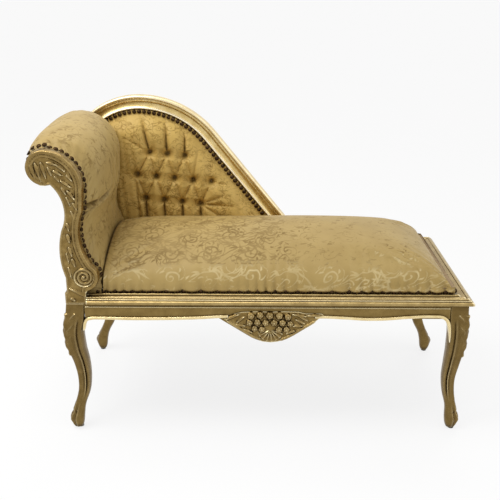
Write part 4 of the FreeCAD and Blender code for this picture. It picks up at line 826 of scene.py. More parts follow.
def damask(name, ground_tone, shade_tone, figure_tone, lit_tone):
    """Silk damask: satin ground and a matt woven figure. The figure gets a painted sheen, lighter where the
    cloth turns over an edge, and folds get painted shade.
    """
    material, tree, shader, place = new_finish(name)
    marks = {}
    for mark in ("figure", "turned"):
        attribute = tree.nodes.new("ShaderNodeAttribute")
        attribute.attribute_name = mark
        marks[mark] = attribute.outputs["Fac"]
    wear = grain(tree, place, 22.0, 3.0)
    shown = tree.nodes.new("ShaderNodeMath")
    shown.operation = "MULTIPLY"
    tree.links.new(spread(tree, marks["figure"], -0.3, 1.0, 1.0, 0.0), shown.inputs[0])
    tree.links.new(spread(tree, wear, 0.35, 0.6, 0.45, 1.0), shown.inputs[1])
    figure = shown.outputs["Value"]
    drift = grain(tree, place, 14.0, 4.0)
    ground = colour_ramp(tree, drift, [(0.3, shade_tone), (0.65, ground_tone)])
    # Painted sheen: the figure goes from its own tone to the lit tone where the cloth turns over an edge.
    sheened_figure = blend_colours(tree, marks["turned"], figure_tone, lit_tone)
    woven = blend_colours(tree, figure, ground, sheened_figure)
    # Painted shade: folds, pits and creases within 18 mm darken toward the fold tone.
    fold_shade = spread(tree, sheltered(tree, 0.018), 0.2, 0.8, 0.7, 0.0)
    feed(tree, shader, Base_Color=blend_colours(tree, fold_shade, woven, FOLD_SHADE_TONE),
         Roughness=spread(tree, figure, 0.0, 1.0, 0.5, 0.66), Specular_IOR_Level=0.28, Sheen_Weight=0.06,
         Sheen_Roughness=0.35, Sheen_Tint=(1.0, 0.88, 0.6, 1.0))
    threads = add_node(tree, "ShaderNodeTexWave", Vector=place, Scale=420.0, Distortion=1.5)
    slub = grain(tree, place, 700.0, 2.0)
    raise_surface(tree, shader, [(figure, 0.4, 0.0005), (threads.outputs["Fac"], 0.1, 0.0002),
                                 (slub, 0.14, 0.0003)])
    return material


def weave_on(piece, across, along, turned=0.0, plain=0.0):
    """Stores the damask on a piece, from its cloth lengths at every point, how far it turns over, which sets
    the painted sheen of the figure, and how far the figure fades into the plain ground there."""
    across = np.ravel(across)
    along = np.ravel(along)
    turned = np.ravel(np.broadcast_to(turned, across.shape)).astype(float)
    # A second, mirrored layer of finer strokes fills the ground where the cloth does not turn over.
    between = from_figure(SECOND_ACROSS - across, along + SECOND_ALONG) + 0.15 + 2.0 * turned
    distance = np.minimum(from_figure(across, along), between) + 1.4 * np.ravel(plain)
    figure = piece.data.attributes.new("figure", "FLOAT", "POINT")
    figure.data.foreach_set("value", np.minimum(distance, 6.0))
    turn = piece.data.attributes.new("turned", "FLOAT", "POINT")
    turn.data.foreach_set("value", turned)


def walked(points):
    """Length along a row of points."""
    steps = np.linalg.norm(np.diff(np.asarray(points, float), axis=0), axis=1)
    return np.concatenate([[0], np.cumsum(steps)])


def evenly(points, count):
    """The same line with evenly spaced points."""
    points = np.asarray(points, float)
    length = walked(points)
    places = np.linspace(0, length[-1], count)
    return np.column_stack([np.interp(places, length, points[:, i]) for i in range(points.shape[1])])


gold_damask = damask("gold_damask", (0.46, 0.325, 0.115), (0.40, 0.275, 0.09), (0.245, 0.158, 0.045),
                     (0.62, 0.49, 0.24))
LET_OUT = 6.0
CLOTH_EVERY = 3
CLOTH_FRAMES = 20
ARM_END = 185.7
ARM_CROWN = [(-ARM_END, 0), (-178, 2.0), (-166, 7), (-140, 14), (-100, 19), (0, 23), (100, 22), (150, 18),
             (175, 12), (ARM_END, 8)]
ARM_SWELL = [(-ARM_END, 3), (-178, 7), (-150, 18), (-100, 27), (0, 33), (60, 32), (120, 24), (160, 14),
             (ARM_END, 9)]


def stuffed(grid, nailed):
    """Cloth of a pad, given as a grid of points, let out against its stuffing where it is not nailed."""
    all_rows = np.arange(grid.shape[0])
    all_columns = np.arange(grid.shape[1])
    rows = np.unique(np.append(all_rows[::CLOTH_EVERY], all_rows[-1]))
    columns = np.unique(np.append(all_columns[::CLOTH_EVERY], all_columns[-1]))
    start = grid[np.ix_(rows, columns)]
    mesh = bpy.data.meshes.new("stuffing")
    mesh.from_pydata((start.reshape(-1, 3) * 0.001).tolist(), [], skin(len(rows), len(columns)))
    trial = add_object("stuffing", mesh)
    held = trial.vertex_groups.new(name="nailed")
    held.add([int(i) for i in np.flatnonzero(nailed[np.ix_(rows, columns)].ravel())], 1.0, "REPLACE")
    cloth = trial.modifiers.new("stuffing", "CLOTH").settings
    cloth.quality = 6
    cloth.vertex_group_mass = "nailed"
    cloth.use_pressure = True
    cloth.uniform_pressure_force = 4.0
    cloth.effector_weights.gravity = 0.0
    for number in range(1, CLOTH_FRAMES + 1):
        bpy.context.scene.frame_set(number)
    swollen = trial.evaluated_get(bpy.context.evaluated_depsgraph_get()).to_mesh()
    ended = np.zeros(len(swollen.vertices) * 3)
    swollen.vertices.foreach_get("co", ended)
    moved = ended.reshape(start.shape) * 1000 - start
    bpy.data.objects.remove(trial)
    bpy.context.scene.frame_set(1)
    far = np.linalg.norm(moved, axis=2)
    moved *= (LET_OUT * np.tanh(far / LET_OUT) / np.maximum(far, 1e-6))[:, :, None]
    shift = np.zeros_like(grid)
    for axis in range(3):
        wide = np.array([np.interp(all_columns, columns, row) for row in moved[:, :, axis]])
        shift[:, :, axis] = np.array([np.interp(all_rows, rows, column) for column in wide.T]).T
    return grid + shift


ROLL_RADIUS = 39.0
ROLL_SHARES = [(0, 0.15), (0.25, 0.3), (0.5, 0.7), (0.75, 1.0), (1, 1.0)]
ARM_REST = (79.7, 328)


def arm_section(y, count):
    """(u, z) points of the arm at one place along it, from under the roll, over the top and to the seat."""
    crown = float(eased(ARM_CROWN, y))
    inner = float(eased(ARM_SWELL, y))
    u, z = SCROLL
    angle = np.radians(np.linspace(-90, -270, 60))
    radius = ROLL_RADIUS + crown * np.interp(np.linspace(0, 1, 60), *zip(*ROLL_SHARES))
    roll = list(zip(u + radius * np.cos(angle), z + radius * np.sin(angle)))
    shoulder = (53 + inner, 571.7)
    waist = (50 + inner, 521.3)
    foot = (73.7, 402.0)
    heel = (ARM_REST[0], 370)
    line = evenly(roll[:-1] + arc_points(roll[-1], shoulder, 86, 1) + line_points(shoulder, waist)
                  + arc_points(waist, foot, 151.2, -1) + line_points(foot, heel)
                  + line_points(heel, ARM_REST) + [ARM_REST], count)
    post_side = [p for p in POST_RIM if p[0] > u + 4][:-22]
    at_post = evenly(roll[:-1] + post_side + [(75.2, 372), (76.0, 328)], count)
    inward = share_of(ARM_END - abs(y) - 9, 30)
    line = at_post + (line - at_post) * inward ** 2 * (3 - 2 * inward)
    reach = 6
    padded_line = np.concatenate([np.repeat(line[:1], reach, 0), line, np.repeat(line[-1:], reach, 0)])
    window = np.ones(2 * reach + 1) / (2 * reach + 1)
    smooth = np.column_stack([np.convolve(padded_line[:, i], window, "valid") for i in range(2)])
    smooth[0], smooth[-1] = line[0], line[-1]
    return smooth


FOLD_Z = 529
FAR_FOLD_Z = 455
ARM_INSIDE = [(48, 327.5), (18, 352), (14, 400), (13, 450), (18, 500), (22, 535), (10, 562), (-8, 572)]
arm_rows = 170
arm_columns = 250
close_at_ends = -ARM_END * np.cos(np.linspace(0, math.pi, arm_rows))
stations = close_at_ends * 0.35 + np.linspace(-ARM_END, ARM_END, arm_rows) * 0.65
grid = np.zeros((arm_rows, arm_columns, 3))
for row, y in enumerate(stations):
    section = arm_section(y, arm_columns)
    grid[row, :, 0] = section[:, 0]
    grid[row, :, 1] = y
    grid[row, :, 2] = section[:, 1]
lengths = walked(grid[arm_rows // 2][:, [0, 2]])
arm_nailed = np.abs(grid[:, :, 1]) > ARM_END - 12
arm_nailed[:, :4] = True
arm_nailed[:, -30:] = True
grid = stuffed(grid, arm_nailed)
tangent = np.gradient(grid, axis=1)
outward = np.stack([-tangent[:, :, 2], np.zeros_like(tangent[:, :, 0]), tangent[:, :, 0]], axis=2)
outward /= np.linalg.norm(outward, axis=2)[:, :, None]
y_grid = grid[:, :, 1]
z_grid = grid[:, :, 2]
from_front = (y_grid + ARM_END) / (2 * ARM_END)
inner_side = share_of(grid[:, :, 0] - 20, 15)
# The deep fold above the seat, strongest at the front, and a crease farther back.
above_fold = z_grid - FOLD_Z - 12 * from_front
held = np.clip(1.4 - from_front * 3.4, 0, 1)
overhang = 9.0 * np.clip(above_fold / 5 + 0.5, 0, 1) * np.exp(-np.abs(above_fold) / 34)
creased = 11.0 * bell(above_fold + 4, 5) + 11.0 * bell(above_fold + 23 - 60 * from_front, 4)
fold = held * (overhang + 8.0 * bell(above_fold + 14, 6) - creased)
above_far_fold = z_grid - FAR_FOLD_Z - 40 * from_front
fold -= 6.0 * np.exp(-np.abs(above_far_fold) / 6) * bell(from_front - 0.4, 0.2)
# Puckers between the nails, slow waves and bunching toward the back.
gather = np.exp(-np.minimum(from_front, 1 - from_front) * 2 * ARM_END / 30)
column_length = np.broadcast_to(lengths, (arm_rows, arm_columns))
pucker = 1.5 * gather * np.sin(column_length / NAIL_PITCH * math.pi + 0.8 * np.sin(column_length / 31))
wave = 1.8 * np.sin(column_length / 38 + y_grid / 45) * np.sin(y_grid / 60 + 1.0) * bell(z_grid - 480, 70)
bunched = share_of(from_front - 0.3, 0.2) * bell(z_grid - 525, 75)
wave += 1.7 * bunched * np.sin(y_grid / 7.0 + 1.6 * np.sin(z_grid / 24))
near_nails = np.clip((ARM_END - np.abs(y_grid) - 5) / 10, 0.2, 1)
grid = grid + outward * (inner_side * (fold + wave) * near_nails + pucker)[:, :, None]
hidden = np.zeros((arm_rows, len(ARM_INSIDE), 3))
hidden[:, :, [0, 2]] = np.array(ARM_INSIDE)[None, :, :]
hidden[:, :, 1] = stations[:, None]
grid = np.concatenate([grid, hidden], axis=1)
grid[:, :, 0] += HEAD_X
arm_pad = add_piece("arm_pad", grid.reshape(-1, 3), skin(arm_rows, grid.shape[1], True, True), gold_damask,
                    ("arm_cover", "arm_foam"), crease=80.0)
hidden_length = np.broadcast_to(lengths[-1] + walked(ARM_INSIDE), hidden.shape[:2])
arm_cloth = np.concatenate([column_length, hidden_length], axis=1)
weave_on(arm_pad, arm_cloth, grid[:, :, 1], 0.0, np.full(arm_cloth.shape, 0.55))

# Arm outside cover. One damask sheet tacked under the roll and drawn straight down the outer side of
# the posts to the rail.
SHEET_THICK = 1.6
outer_line = evenly(arc_points((-11.5, 578.5), (4.4, 481), 84.4, 1)
                    + arc_points((4.4, 481), (5.6, 373.5), 176, -1)
                    + line_points((5.6, 373.5), (5.6, 338.6)) + [(5.6, 338.6)], 120)
outer_line = np.concatenate([outer_line, outer_line[::-1] + np.array([SHEET_THICK, 0])])
outer_stations = np.linspace(-ARM_END, ARM_END, 130)
sheet = np.zeros((len(outer_stations), len(outer_line), 3))
sheet[:, :, 0] = outer_line[:, 0] + HEAD_X
sheet[:, :, 2] = outer_line[:, 1]
sheet[:, :, 1] = outer_stations[:, None]
arm_sheet = add_piece("arm_outside_sheet", sheet.reshape(-1, 3), skin(*sheet.shape[:2], True, True),
                      gold_damask, ("arm_outer_cover",), crease=60.0)
weave_on(arm_sheet, sheet[:, :, 2], sheet[:, :, 1])

# Back pad. Hair stuffing over a board, deep buttoned in diamonds: the damask is pleated from button to
# button, up to the crest nails and down behind the seat.
BUTTONS_TOP = [(-269.6, 562.6), (-226.0, 559.0), (-182.0, 554.4)]
BUTTONS_MIDDLE = [(-302.2, 505.9), (-255.7, 501.2), (-209.2, 496.6), (-162.7, 491.9), (-116.2, 487.3)]
BUTTONS_LOW = [(-283.6, 444.1), (-237.1, 439.4), (-190.6, 434.8), (-144.1, 430.1)]
BUTTONS = BUTTONS_TOP + BUTTONS_MIDDLE + BUTTONS_LOW
PAD_FACE = BACK_FACE - 1.0
PAD_DEPTH = 36.0
PAD_LOW = 350.0
PAD_LEFT = HEAD_X + 42.0
# Painted bounce light: the back pad's copy of the damask is brighter and more saturated than the same cloth
# elsewhere.
bounce_lit_back_damask = damask("bounce_lit_back_damask", (0.66, 0.455, 0.135), (0.54, 0.355, 0.09), (0.34, 0.208, 0.046),
                     (0.72, 0.55, 0.22))


def back_pleats():
    """Folds of the pad: start, end, depth at the start and at the end, width."""
    pleats = []
    for row, other in ((BUTTONS_TOP, BUTTONS_MIDDLE), (BUTTONS_MIDDLE, BUTTONS_LOW)):
        for a in row:
            pleats += [(a, b, 11.5, 11.5, 4.4) for b in other if math.dist(a, b) < 74]
    for (x0, z0), lean in zip(BUTTONS_TOP, (-20, -4, 0)):
        pleats.append(((x0, z0), (x0 + lean, z0 + 92), 21.0, 7.0, 3.4))
    for x0, z0 in BUTTONS_LOW:
        pleats.append(((x0, z0), (x0 + 3, z0 - 80), 19.0, 15.0, 3.6))
    top, middle, low = BUTTONS_TOP, BUTTONS_MIDDLE, BUTTONS_LOW
    pleats += [(middle[4], (-116, 540), 10.0, 3.0, 3.4), (middle[4], (-58, 472), 9.0, 2.0, 3.4),
               (middle[3], (-148, 562), 10.0, 3.0, 3.4), (low[3], (-58, 424), 10.0, 2.0, 3.6),
               (low[3], (-84, 452), 9.0, 2.0, 3.4), (low[3], (-96, 398), 9.0, 4.0, 3.4),
               (middle[0], (-336, 510), 10.0, 3.0, 3.6), (low[0], (-312, 452), 9.0, 4.0, 3.4),
               ((-306, 492), (-300, 380), 8.0, 9.0, 4.0), (top[0], (-330, 600), 7.0, 2.0, 3.6)]
    return pleats


def back_relief(x, z):
    """How far the buttoned pad stands out in front of the nail border."""
    inset = nearest_distance(crest_line(0.0, BEHIND_ARM, 1.5), x, z)
    rise = PAD_DEPTH * (1 - (1 - share_of(inset - 46.5, 58)) ** 2.3)
    sunk = np.zeros_like(x)
    for a, b, deep, shallow, width in back_pleats():
        run = np.array(b) - np.array(a)
        t = np.clip(((x - a[0]) * run[0] + (z - a[1]) * run[1]) / (run @ run), 0, 1)
        d = np.hypot(x - a[0] - t * run[0], z - a[1] - t * run[1])
        depth = deep + (shallow - deep) * t
        if b in BUTTONS:
            depth = depth - 0.2625 * deep * np.sin(math.pi * t)
        sunk = np.maximum(sunk, depth * (0.72 * np.exp(-d / width) + 0.28 * bell(d, 13)))
    for bx, bz in BUTTONS:
        d = np.hypot(x - bx, z - bz)
        sunk = np.maximum(sunk, 22.0 * np.exp(-(d / 8.5) ** 1.4) + 7.0 * bell(d, 20))
    creases = 0.6 * np.sin(x / 5.0 + 2.0 * np.sin(z / 23.0)) * np.sin(z / 17.0)
    creases += 0.5 * np.sin(x / 2.9 + z / 31)
    return np.maximum(rise - sunk * share_of(rise, 24) + creases * share_of(rise, 30), 0.3)


pad_edge = [(x, z) for x, z in crest_line(36.0, BEHIND_ARM, 2.4) if x > PAD_LEFT and z > PAD_LOW]
left_side = line_points((PAD_LEFT, PAD_LOW), (PAD_LEFT, pad_edge[0][1] - 2), 2.4)
low_side = line_points((pad_edge[-1][0] + 2, PAD_LOW), (PAD_LEFT, PAD_LOW), 2.4)
pad_outline = left_side + pad_edge + low_side
points, faces = carved_panel(pad_outline, 1.55, back_relief, PAD_FACE, BACK_FACE + 5)
back_pad = add_piece("buttoned_back", points, faces, bounce_lit_back_damask, ("back_pad",), crease=80.0)
weave_on(back_pad, points[:, 0] * 1.35, points[:, 2] * 1.35 + points[:, 1], 0.0, np.full(len(points), 0.3))

# Buttons. Small moulds covered in the same damask, each drawn down into the pad on a twine tie that
# goes through the board behind it.
button_rings = [(7.6, 2.7), (7.9, 1.1), (7.2, -0.7), (5.2, -2.2), (2.6, -3.0)]
points = []
faces = []
around = 18
for bx, bz in BUTTONS:
    base = len(points)
    place = float(back_relief(np.array([bx]), np.array([bz]))[0])
    for radius, depth in button_rings:
        for step in range(around):
            angle = 2 * math.pi * step / around
            points.append((bx + radius * math.cos(angle), PAD_FACE - place + depth,
                           bz + radius * math.sin(angle)))
    faces += shifted(skin(len(button_rings), around, True, True), base)
buttons = add_piece("covered_buttons", points, faces, bounce_lit_back_damask, ("back_buttons",), crease=60.0)
weave_on(buttons, np.array(points)[:, 0], np.array(points)[:, 2])

# Outside back. One damask sheet laid over the rear of the frame, nailed round its edge and a little
# full between the nails.
REAR_LEFT = HEAD_X + 40
REAR_LOW = 376
rear_edge = [(x, z) for x, z in crest_line(8.0, -60.0, 3.0) if x > REAR_LEFT and z > REAR_LOW]
rear_outline = (line_points((REAR_LEFT, REAR_LOW), (REAR_LEFT, rear_edge[0][1] - 2), 3.0) + rear_edge
                + line_points((rear_edge[-1][0] + 2, REAR_LOW), (REAR_LEFT, REAR_LOW), 3.0))


def rear_relief(x, z):
    """Slight fullness of the outside back between its nails."""
    d = nearest_distance(rear_outline, x, z)
    return 1.2 + 1.6 * (1 - np.exp(-d / 30))


points, faces = carved_panel(rear_outline, 2.6, rear_relief, BACK_FACE + 21.2, BACK_FACE + 21.1)
back_sheet = add_piece("outside_back_sheet", points, faces, gold_damask, ("back_outer_cover",),
                       crease=60.0)
weave_on(back_sheet, points[:, 0], points[:, 2])

# Seat. Webbing, hessian and a foam block crowned with hair, under one piece of damask that is drawn
# down and nailed along the step of the rail, with short tension pleats above the nails.
SEAT_LEFT = HEAD_X + 80.0
SEAT_RIGHT = 435.4
SEAT_HALF = 183.3
SEAT_BASE = 326.6
SEAT_BAND = 22.0
SEAT_CROWN = 82.5
SEAT_SLOPE = 13.0
SEAT_CORNER = 10.0
BAND_ROWS = 9
EASE = 1.9
SIDE_POWER = 1.7
FOOT_POWER = 2.6


def crown_share(distance, reach, power):
    """Share of the crown reached at a distance in from an edge."""
    across = np.clip(1 - distance / reach, 0, 1)
    return (1 - across ** power) ** (1 / EASE)


def profile_places(reach, power, count):
    """Distances in from an edge that lie evenly along the rising curve."""
    fine = np.linspace(0, 1, 2000) ** 2.5 * reach
    rise = SEAT_CROWN * crown_share(fine, reach, power)
    length = walked(np.column_stack([fine, rise]))
    return np.interp(np.linspace(0, length[-1], count), length, fine)


crown_right = SEAT_RIGHT - SEAT_SLOPE
foot_reach = 0.43 * (crown_right - SEAT_LEFT)
side_in = profile_places(SEAT_HALF, SIDE_POWER, 122)
y_places = np.concatenate([-SEAT_HALF + side_in, (SEAT_HALF - side_in)[::-1][1:]])
foot_in = profile_places(foot_reach, FOOT_POWER, 175)
x_places = np.concatenate([np.linspace(SEAT_LEFT, crown_right - foot_reach, 180),
                           (crown_right - foot_in)[::-1][1:]])
x_grid, y_grid = np.meshgrid(x_places, y_places)
share_y = crown_share(SEAT_HALF - np.abs(y_grid), SEAT_HALF, SIDE_POWER)
share_x = crown_share(crown_right - x_grid, foot_reach, FOOT_POWER)
share_left = 0.8 + 0.2 * crown_share(x_grid - SEAT_LEFT, 120.0, 2.0)
softness = 9.0
share = -np.log(np.exp(-softness * share_y) + np.exp(-softness * share_x) - np.exp(-softness)) / softness
share = np.clip(share, 0, 1) * share_left
seat_grid = np.stack([x_grid, y_grid, SEAT_BASE + SEAT_BAND + SEAT_CROWN * share], axis=2)
rows, columns = x_grid.shape
# The cloth goes on over the sides down to the nails, and slopes at the foot end.
full = np.zeros((rows + 2 * BAND_ROWS, columns + BAND_ROWS, 3))
full[BAND_ROWS:-BAND_ROWS, :columns] = seat_grid
for index in range(BAND_ROWS):
    drop = (index + 1) / BAND_ROWS * SEAT_BAND
    for row, edge in ((BAND_ROWS - 1 - index, seat_grid[0]), (rows + BAND_ROWS + index, seat_grid[-1])):
        full[row, :columns] = edge
        full[row, :columns, 2] -= drop
for index in range(BAND_ROWS):
    out = (index + 1) / BAND_ROWS
    full[:, columns + index] = full[:, columns - 1]
    full[:, columns + index, 0] += out * SEAT_SLOPE
    full[BAND_ROWS:-BAND_ROWS, columns + index, 2] -= out * SEAT_BAND
# Round corners at the foot end.
for sign in (-1, 1):
    inset_x = full[:, :, 0] - (SEAT_RIGHT - SEAT_CORNER)
    inset_y = sign * full[:, :, 1] - (SEAT_HALF - SEAT_CORNER)
    outside = np.hypot(np.maximum(inset_x, 0), np.maximum(inset_y, 0))
    beyond = (inset_x > 0) & (inset_y > 0) & (outside > SEAT_CORNER)
    pull = np.where(beyond, SEAT_CORNER / np.maximum(outside, 1e-6) - 1, 0)
    full[:, :, 0] += inset_x * pull
    full[:, :, 1] += sign * inset_y * pull
seat_nailed = full[:, :, 2] < SEAT_BASE + 12
seat_nailed[:, :4] = True
full = stuffed(full, seat_nailed)
x, y, z = np.moveaxis(full, 2, 0)
# Fullness over the nails, pleats drawn up from them and shallow waves on the top.
above_band = z - SEAT_BASE - 9
puff = 5.0 * share_of(above_band + 2.6, 3) * np.exp(-np.clip(above_band, 0, 99) / 20)
y += np.sign(y) * puff * (np.abs(y) > SEAT_HALF - 30) * share_of(SEAT_RIGHT - 4 - x, 6)
above_nails = z - SEAT_BASE - 8
pleat = np.exp(-np.clip(above_nails, 0, 200) / 32) * np.clip(above_nails / 8 + 1, 0, 1)
ripple = 8.0 * pleat * (np.abs(np.sin(x / 8.4 + 2.2 * np.sin(x / 47))) - 0.6)
ripple *= 0.35 + 0.65 * np.sin(x / 57 + 1.0) ** 2
y += np.sign(y) * ripple * (np.abs(y) > 120)
x += 1.2 * pleat * np.sin(y / 9.0 + 1.5 * np.sin(y / 37)) * (x > 380)
z += 1.4 * np.sin(x / 70) * np.sin(y / 55 + 0.8) * share_of(z - 390, 40)


def cloth_lengths(grid, axis):
    """Length of the cloth up to every point of a grid, along one of its two directions."""
    steps = np.linalg.norm(np.diff(grid, axis=axis), axis=2)
    start = np.zeros_like(np.take(steps, [0], axis=axis))
    return np.cumsum(np.concatenate([start, steps], axis=axis), axis=axis)


seat_rows, seat_columns = full.shape[:2]
head_wall = [row * seat_columns for row in range(seat_rows)]
foot_wall = [row * seat_columns + seat_columns - 1 for row in range(seat_rows)]
near_edge = list(range(seat_columns))
far_edge = [(seat_rows - 1) * seat_columns + column for column in range(seat_columns)]
seat_faces = skin(seat_rows, seat_columns)
seat_faces.append(tuple(head_wall))
seat_faces.append(tuple(near_edge + foot_wall[1:] + far_edge[-2::-1]))
# The figure gets a painted sheen, light where the cloth turns over the sides, and it fades on them and
# toward the foot end.
step_y = np.gradient(y, axis=0)
level = np.abs(step_y / np.maximum(np.hypot(step_y, np.gradient(z, axis=0)), 1e-6))
turned = share_of(0.8 - level, 0.1)
plain_from = 0.52 - 0.34 * share_of(x, 260)
worn = 0.9 * share_of(x - 20, 120) * (1 - turned)
plain = share_of(plain_from - level, 0.12) + worn
seat_pad = add_piece("crowned_seat", full.reshape(-1, 3), seat_faces, gold_damask,
                     ("seat_cover", "seat_foam"), crease=80.0)
weave_on(seat_pad, cloth_lengths(full, 1), cloth_lengths(full, 0), turned.ravel(), plain)

# Webbing, hessian and dust cloth. Jute straps under the stuffing, a hessian sheet over them, and a
# black cotton dust cloth tacked under the frame.


def coarse_cloth(name, light, dark, threads_per_metre):
    """Plain weave of jute or cotton."""
    material, tree, shader, place = new_finish(name)
    heights = []
    for direction in ("X", "Y"):
        wave = add_node(tree, "ShaderNodeTexWave", Vector=place, Scale=threads_per_metre, Distortion=0.6)
        wave.bands_direction = direction
        heights.append((wave.outputs["Fac"], 0.3, 0.0004))
    slub = grain(tree, place, 80.0, 4.0)
    feed(tree, shader, Base_Color=colour_ramp(tree, slub, [(0.3, dark), (0.7, light)]), Roughness=0.9)
    raise_surface(tree, shader, heights)
    return material


jute = coarse_cloth("jute_webbing", (0.42, 0.30, 0.17), (0.27, 0.18, 0.09), 160.0)
black_cotton = coarse_cloth("black_cotton", (0.035, 0.034, 0.033), (0.018, 0.017, 0.017), 320.0)
dress(["seat_webbing_long", "seat_webbing_cross", "seat_hessian", "arm_webbing", "button_ties"], jute)
low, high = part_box("seat_dust_cover")
dust_x = np.linspace(low.x * 1000, high.x * 1000, 70)
dust_y = np.linspace(low.y * 1000, high.y * 1000, 40)
dust_grid = np.zeros((len(dust_y), len(dust_x), 3))
dust_grid[:, :, 0], dust_grid[:, :, 1] = np.meshgrid(dust_x, dust_y)
sag = 3.0 * np.outer(np.sin(np.linspace(0, math.pi, len(dust_y))),
                     np.sin(np.linspace(0, math.pi, len(dust_x))))
dust_grid[:, :, 2] = low.z * 1000 - sag
dust_top = dust_grid.copy()
dust_top[:, :, 2] = high.z * 1000 - sag
rows, columns = dust_grid.shape[:2]
count = rows * columns
under = skin(rows, columns)
over = shifted(under, count)
numbered = np.arange(count).reshape(rows, columns)
rim = np.concatenate([numbered[0], numbered[1:, -1], numbered[-1, -2::-1], numbered[-2:0:-1, 0]]).tolist()
hem = [(a, b, count + b, count + a) for a, b in zip(rim, rim[1:] + rim[:1])]
dust_cloth = add_piece("dust_cloth", np.concatenate([dust_grid.reshape(-1, 3), dust_top.reshape(-1, 3)]),
                       under + over + hem, black_cotton, ("seat_dust_cover",), crease=60.0)

# Nails. Antique bronze domed heads set almost touching along every upholstered edge. They stand where the
# solids' nails do, but a few more close the front rows of the seat and the crest, and the arm's nails
# follow the rims of the posts, up to 12 mm from the solids' places.
bronze = metal("antique_bronze", (0.085, 0.05, 0.024), (0.024, 0.014, 0.008), 0.32, 0.46)
bronze.node_tree.nodes["Principled BSDF"].inputs["Specular Tint"].default_value = (0.2, 0.12, 0.06, 1.0)
head_rings = [(5.4, -0.6), (5.4, 0.4), (4.8, 1.8), (3.5, 2.9), (1.8, 3.6), (0.6, 3.8)]
head_sides = 12
head_turns = np.linspace(0, 2 * math.pi, head_sides, endpoint=False)
head_points = [(r * math.cos(a) * 0.001, r * math.sin(a) * 0.001, z * 0.001)
               for r, z in head_rings for a in head_turns]
head_mesh = bpy.data.meshes.new("nail_head")
head_mesh.from_pydata(head_points, [], skin(len(head_rings), head_sides, True, True))
head_mesh.shade_smooth()
nail_head = add_object("nail_head", head_mesh)


def nail_tree():
    """Node tree that drives one nail at every point, along the direction stored on it."""
    tree = bpy.data.node_groups.new("driven_nails", "GeometryNodeTree")
    for label, kind in (("Places", "Geometry"), ("Nail head", "Object"), ("Finish", "Material"),
                        ("Uneven", "Float")):
        tree.interface.new_socket(label, in_out="INPUT", socket_type="NodeSocket" + kind)
    tree.interface.new_socket("Nails", in_out="OUTPUT", socket_type="NodeSocketGeometry")
    given = tree.nodes.new("NodeGroupInput").outputs
    places = add_node(tree, "GeometryNodeMeshToPoints", Mesh=given["Places"])
    head = add_node(tree, "GeometryNodeObjectInfo", Object=given["Nail head"])
    facing = add_node(tree, "GeometryNodeInputNamedAttribute", Name="outward")
    facing.data_type = "FLOAT_VECTOR"
    turn = add_node(tree, "FunctionNodeAlignRotationToVector", Vector=facing.outputs["Attribute"])
    turn.axis = "Z"
    smallest = tree.nodes.new("ShaderNodeMath")
    smallest.operation = "SUBTRACT"
    smallest.inputs[0].default_value = 1.0
    tree.links.new(given["Uneven"], smallest.inputs[1])
    varied = add_node(tree, "FunctionNodeRandomValue", Seed=7)
    varied.data_type = "FLOAT"
    tree.links.new(smallest.outputs["Value"], varied.inputs[2])
    driven = add_node(tree, "GeometryNodeInstanceOnPoints", Points=places.outputs["Points"],
                      Instance=head.outputs["Geometry"], Rotation=turn.outputs["Rotation"],
                      Scale=varied.outputs[1])
    real = add_node(tree, "GeometryNodeRealizeInstances", Geometry=driven.outputs["Instances"])
    coat = add_node(tree, "GeometryNodeSetMaterial", Geometry=real.outputs["Geometry"],
                    Material=given["Finish"])
    add_node(tree, "NodeGroupOutput", Nails=coat.outputs["Geometry"])
    return tree


def nail_places(node):
    """Foot and axis of every nail of a node, read from its solids."""
    solid = bmesh.new()
    solid.from_mesh(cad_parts[node].data)
    bmesh.ops.remove_doubles(solid, verts=solid.verts, dist=0.00002)
    seen = set()
    places = []
    for start in solid.verts:
        if start in seen:
            continue
        island = [start]
        seen.add(start)
        for vertex in island:
            for edge in vertex.link_edges:
                other = edge.other_vert(vertex)
                if other not in seen:
                    seen.add(other)
                    island.append(other)
        cloud = np.array([vertex.co for vertex in island])
        middle = (cloud.min(axis=0) + cloud.max(axis=0)) / 2
        _, _, axes = np.linalg.svd(cloud - cloud.mean(axis=0), full_matrices=False)
        axis = axes[2]
        reach = (cloud - middle) @ axis
        rim = np.linalg.norm(cloud - middle - np.outer(reach, axis), axis=1)
        flat = reach[rim > 0.8 * rim.max()].mean()
        if flat > 0:
            axis = -axis
        foot = middle + axis * ((cloud - middle) @ axis).min()
        places.append((foot, axis))
    solid.free()
    return places


CREST_NAIL_INSET = 40.3
ARM_NAIL_Y = 180.2


def crest_nails_past(nail, toward):
    """Three more nails along the crest's nail line past an end one, to the left (-1) or the right (1)."""
    foot, axis = nail
    line = np.array(crest_line(CREST_NAIL_INSET, BEHIND_ARM, 0.5))
    line = line[(line[:, 0] - foot[0] * 1000) * toward > 0][::toward]
    more = []
    for step in (1, 2, 3):
        x, z = line[int(np.interp(NAIL_PITCH * step, walked(line), np.arange(len(line))))]
        more.append((np.array([x * 0.001, foot[1], z * 0.001]), axis))
    return more


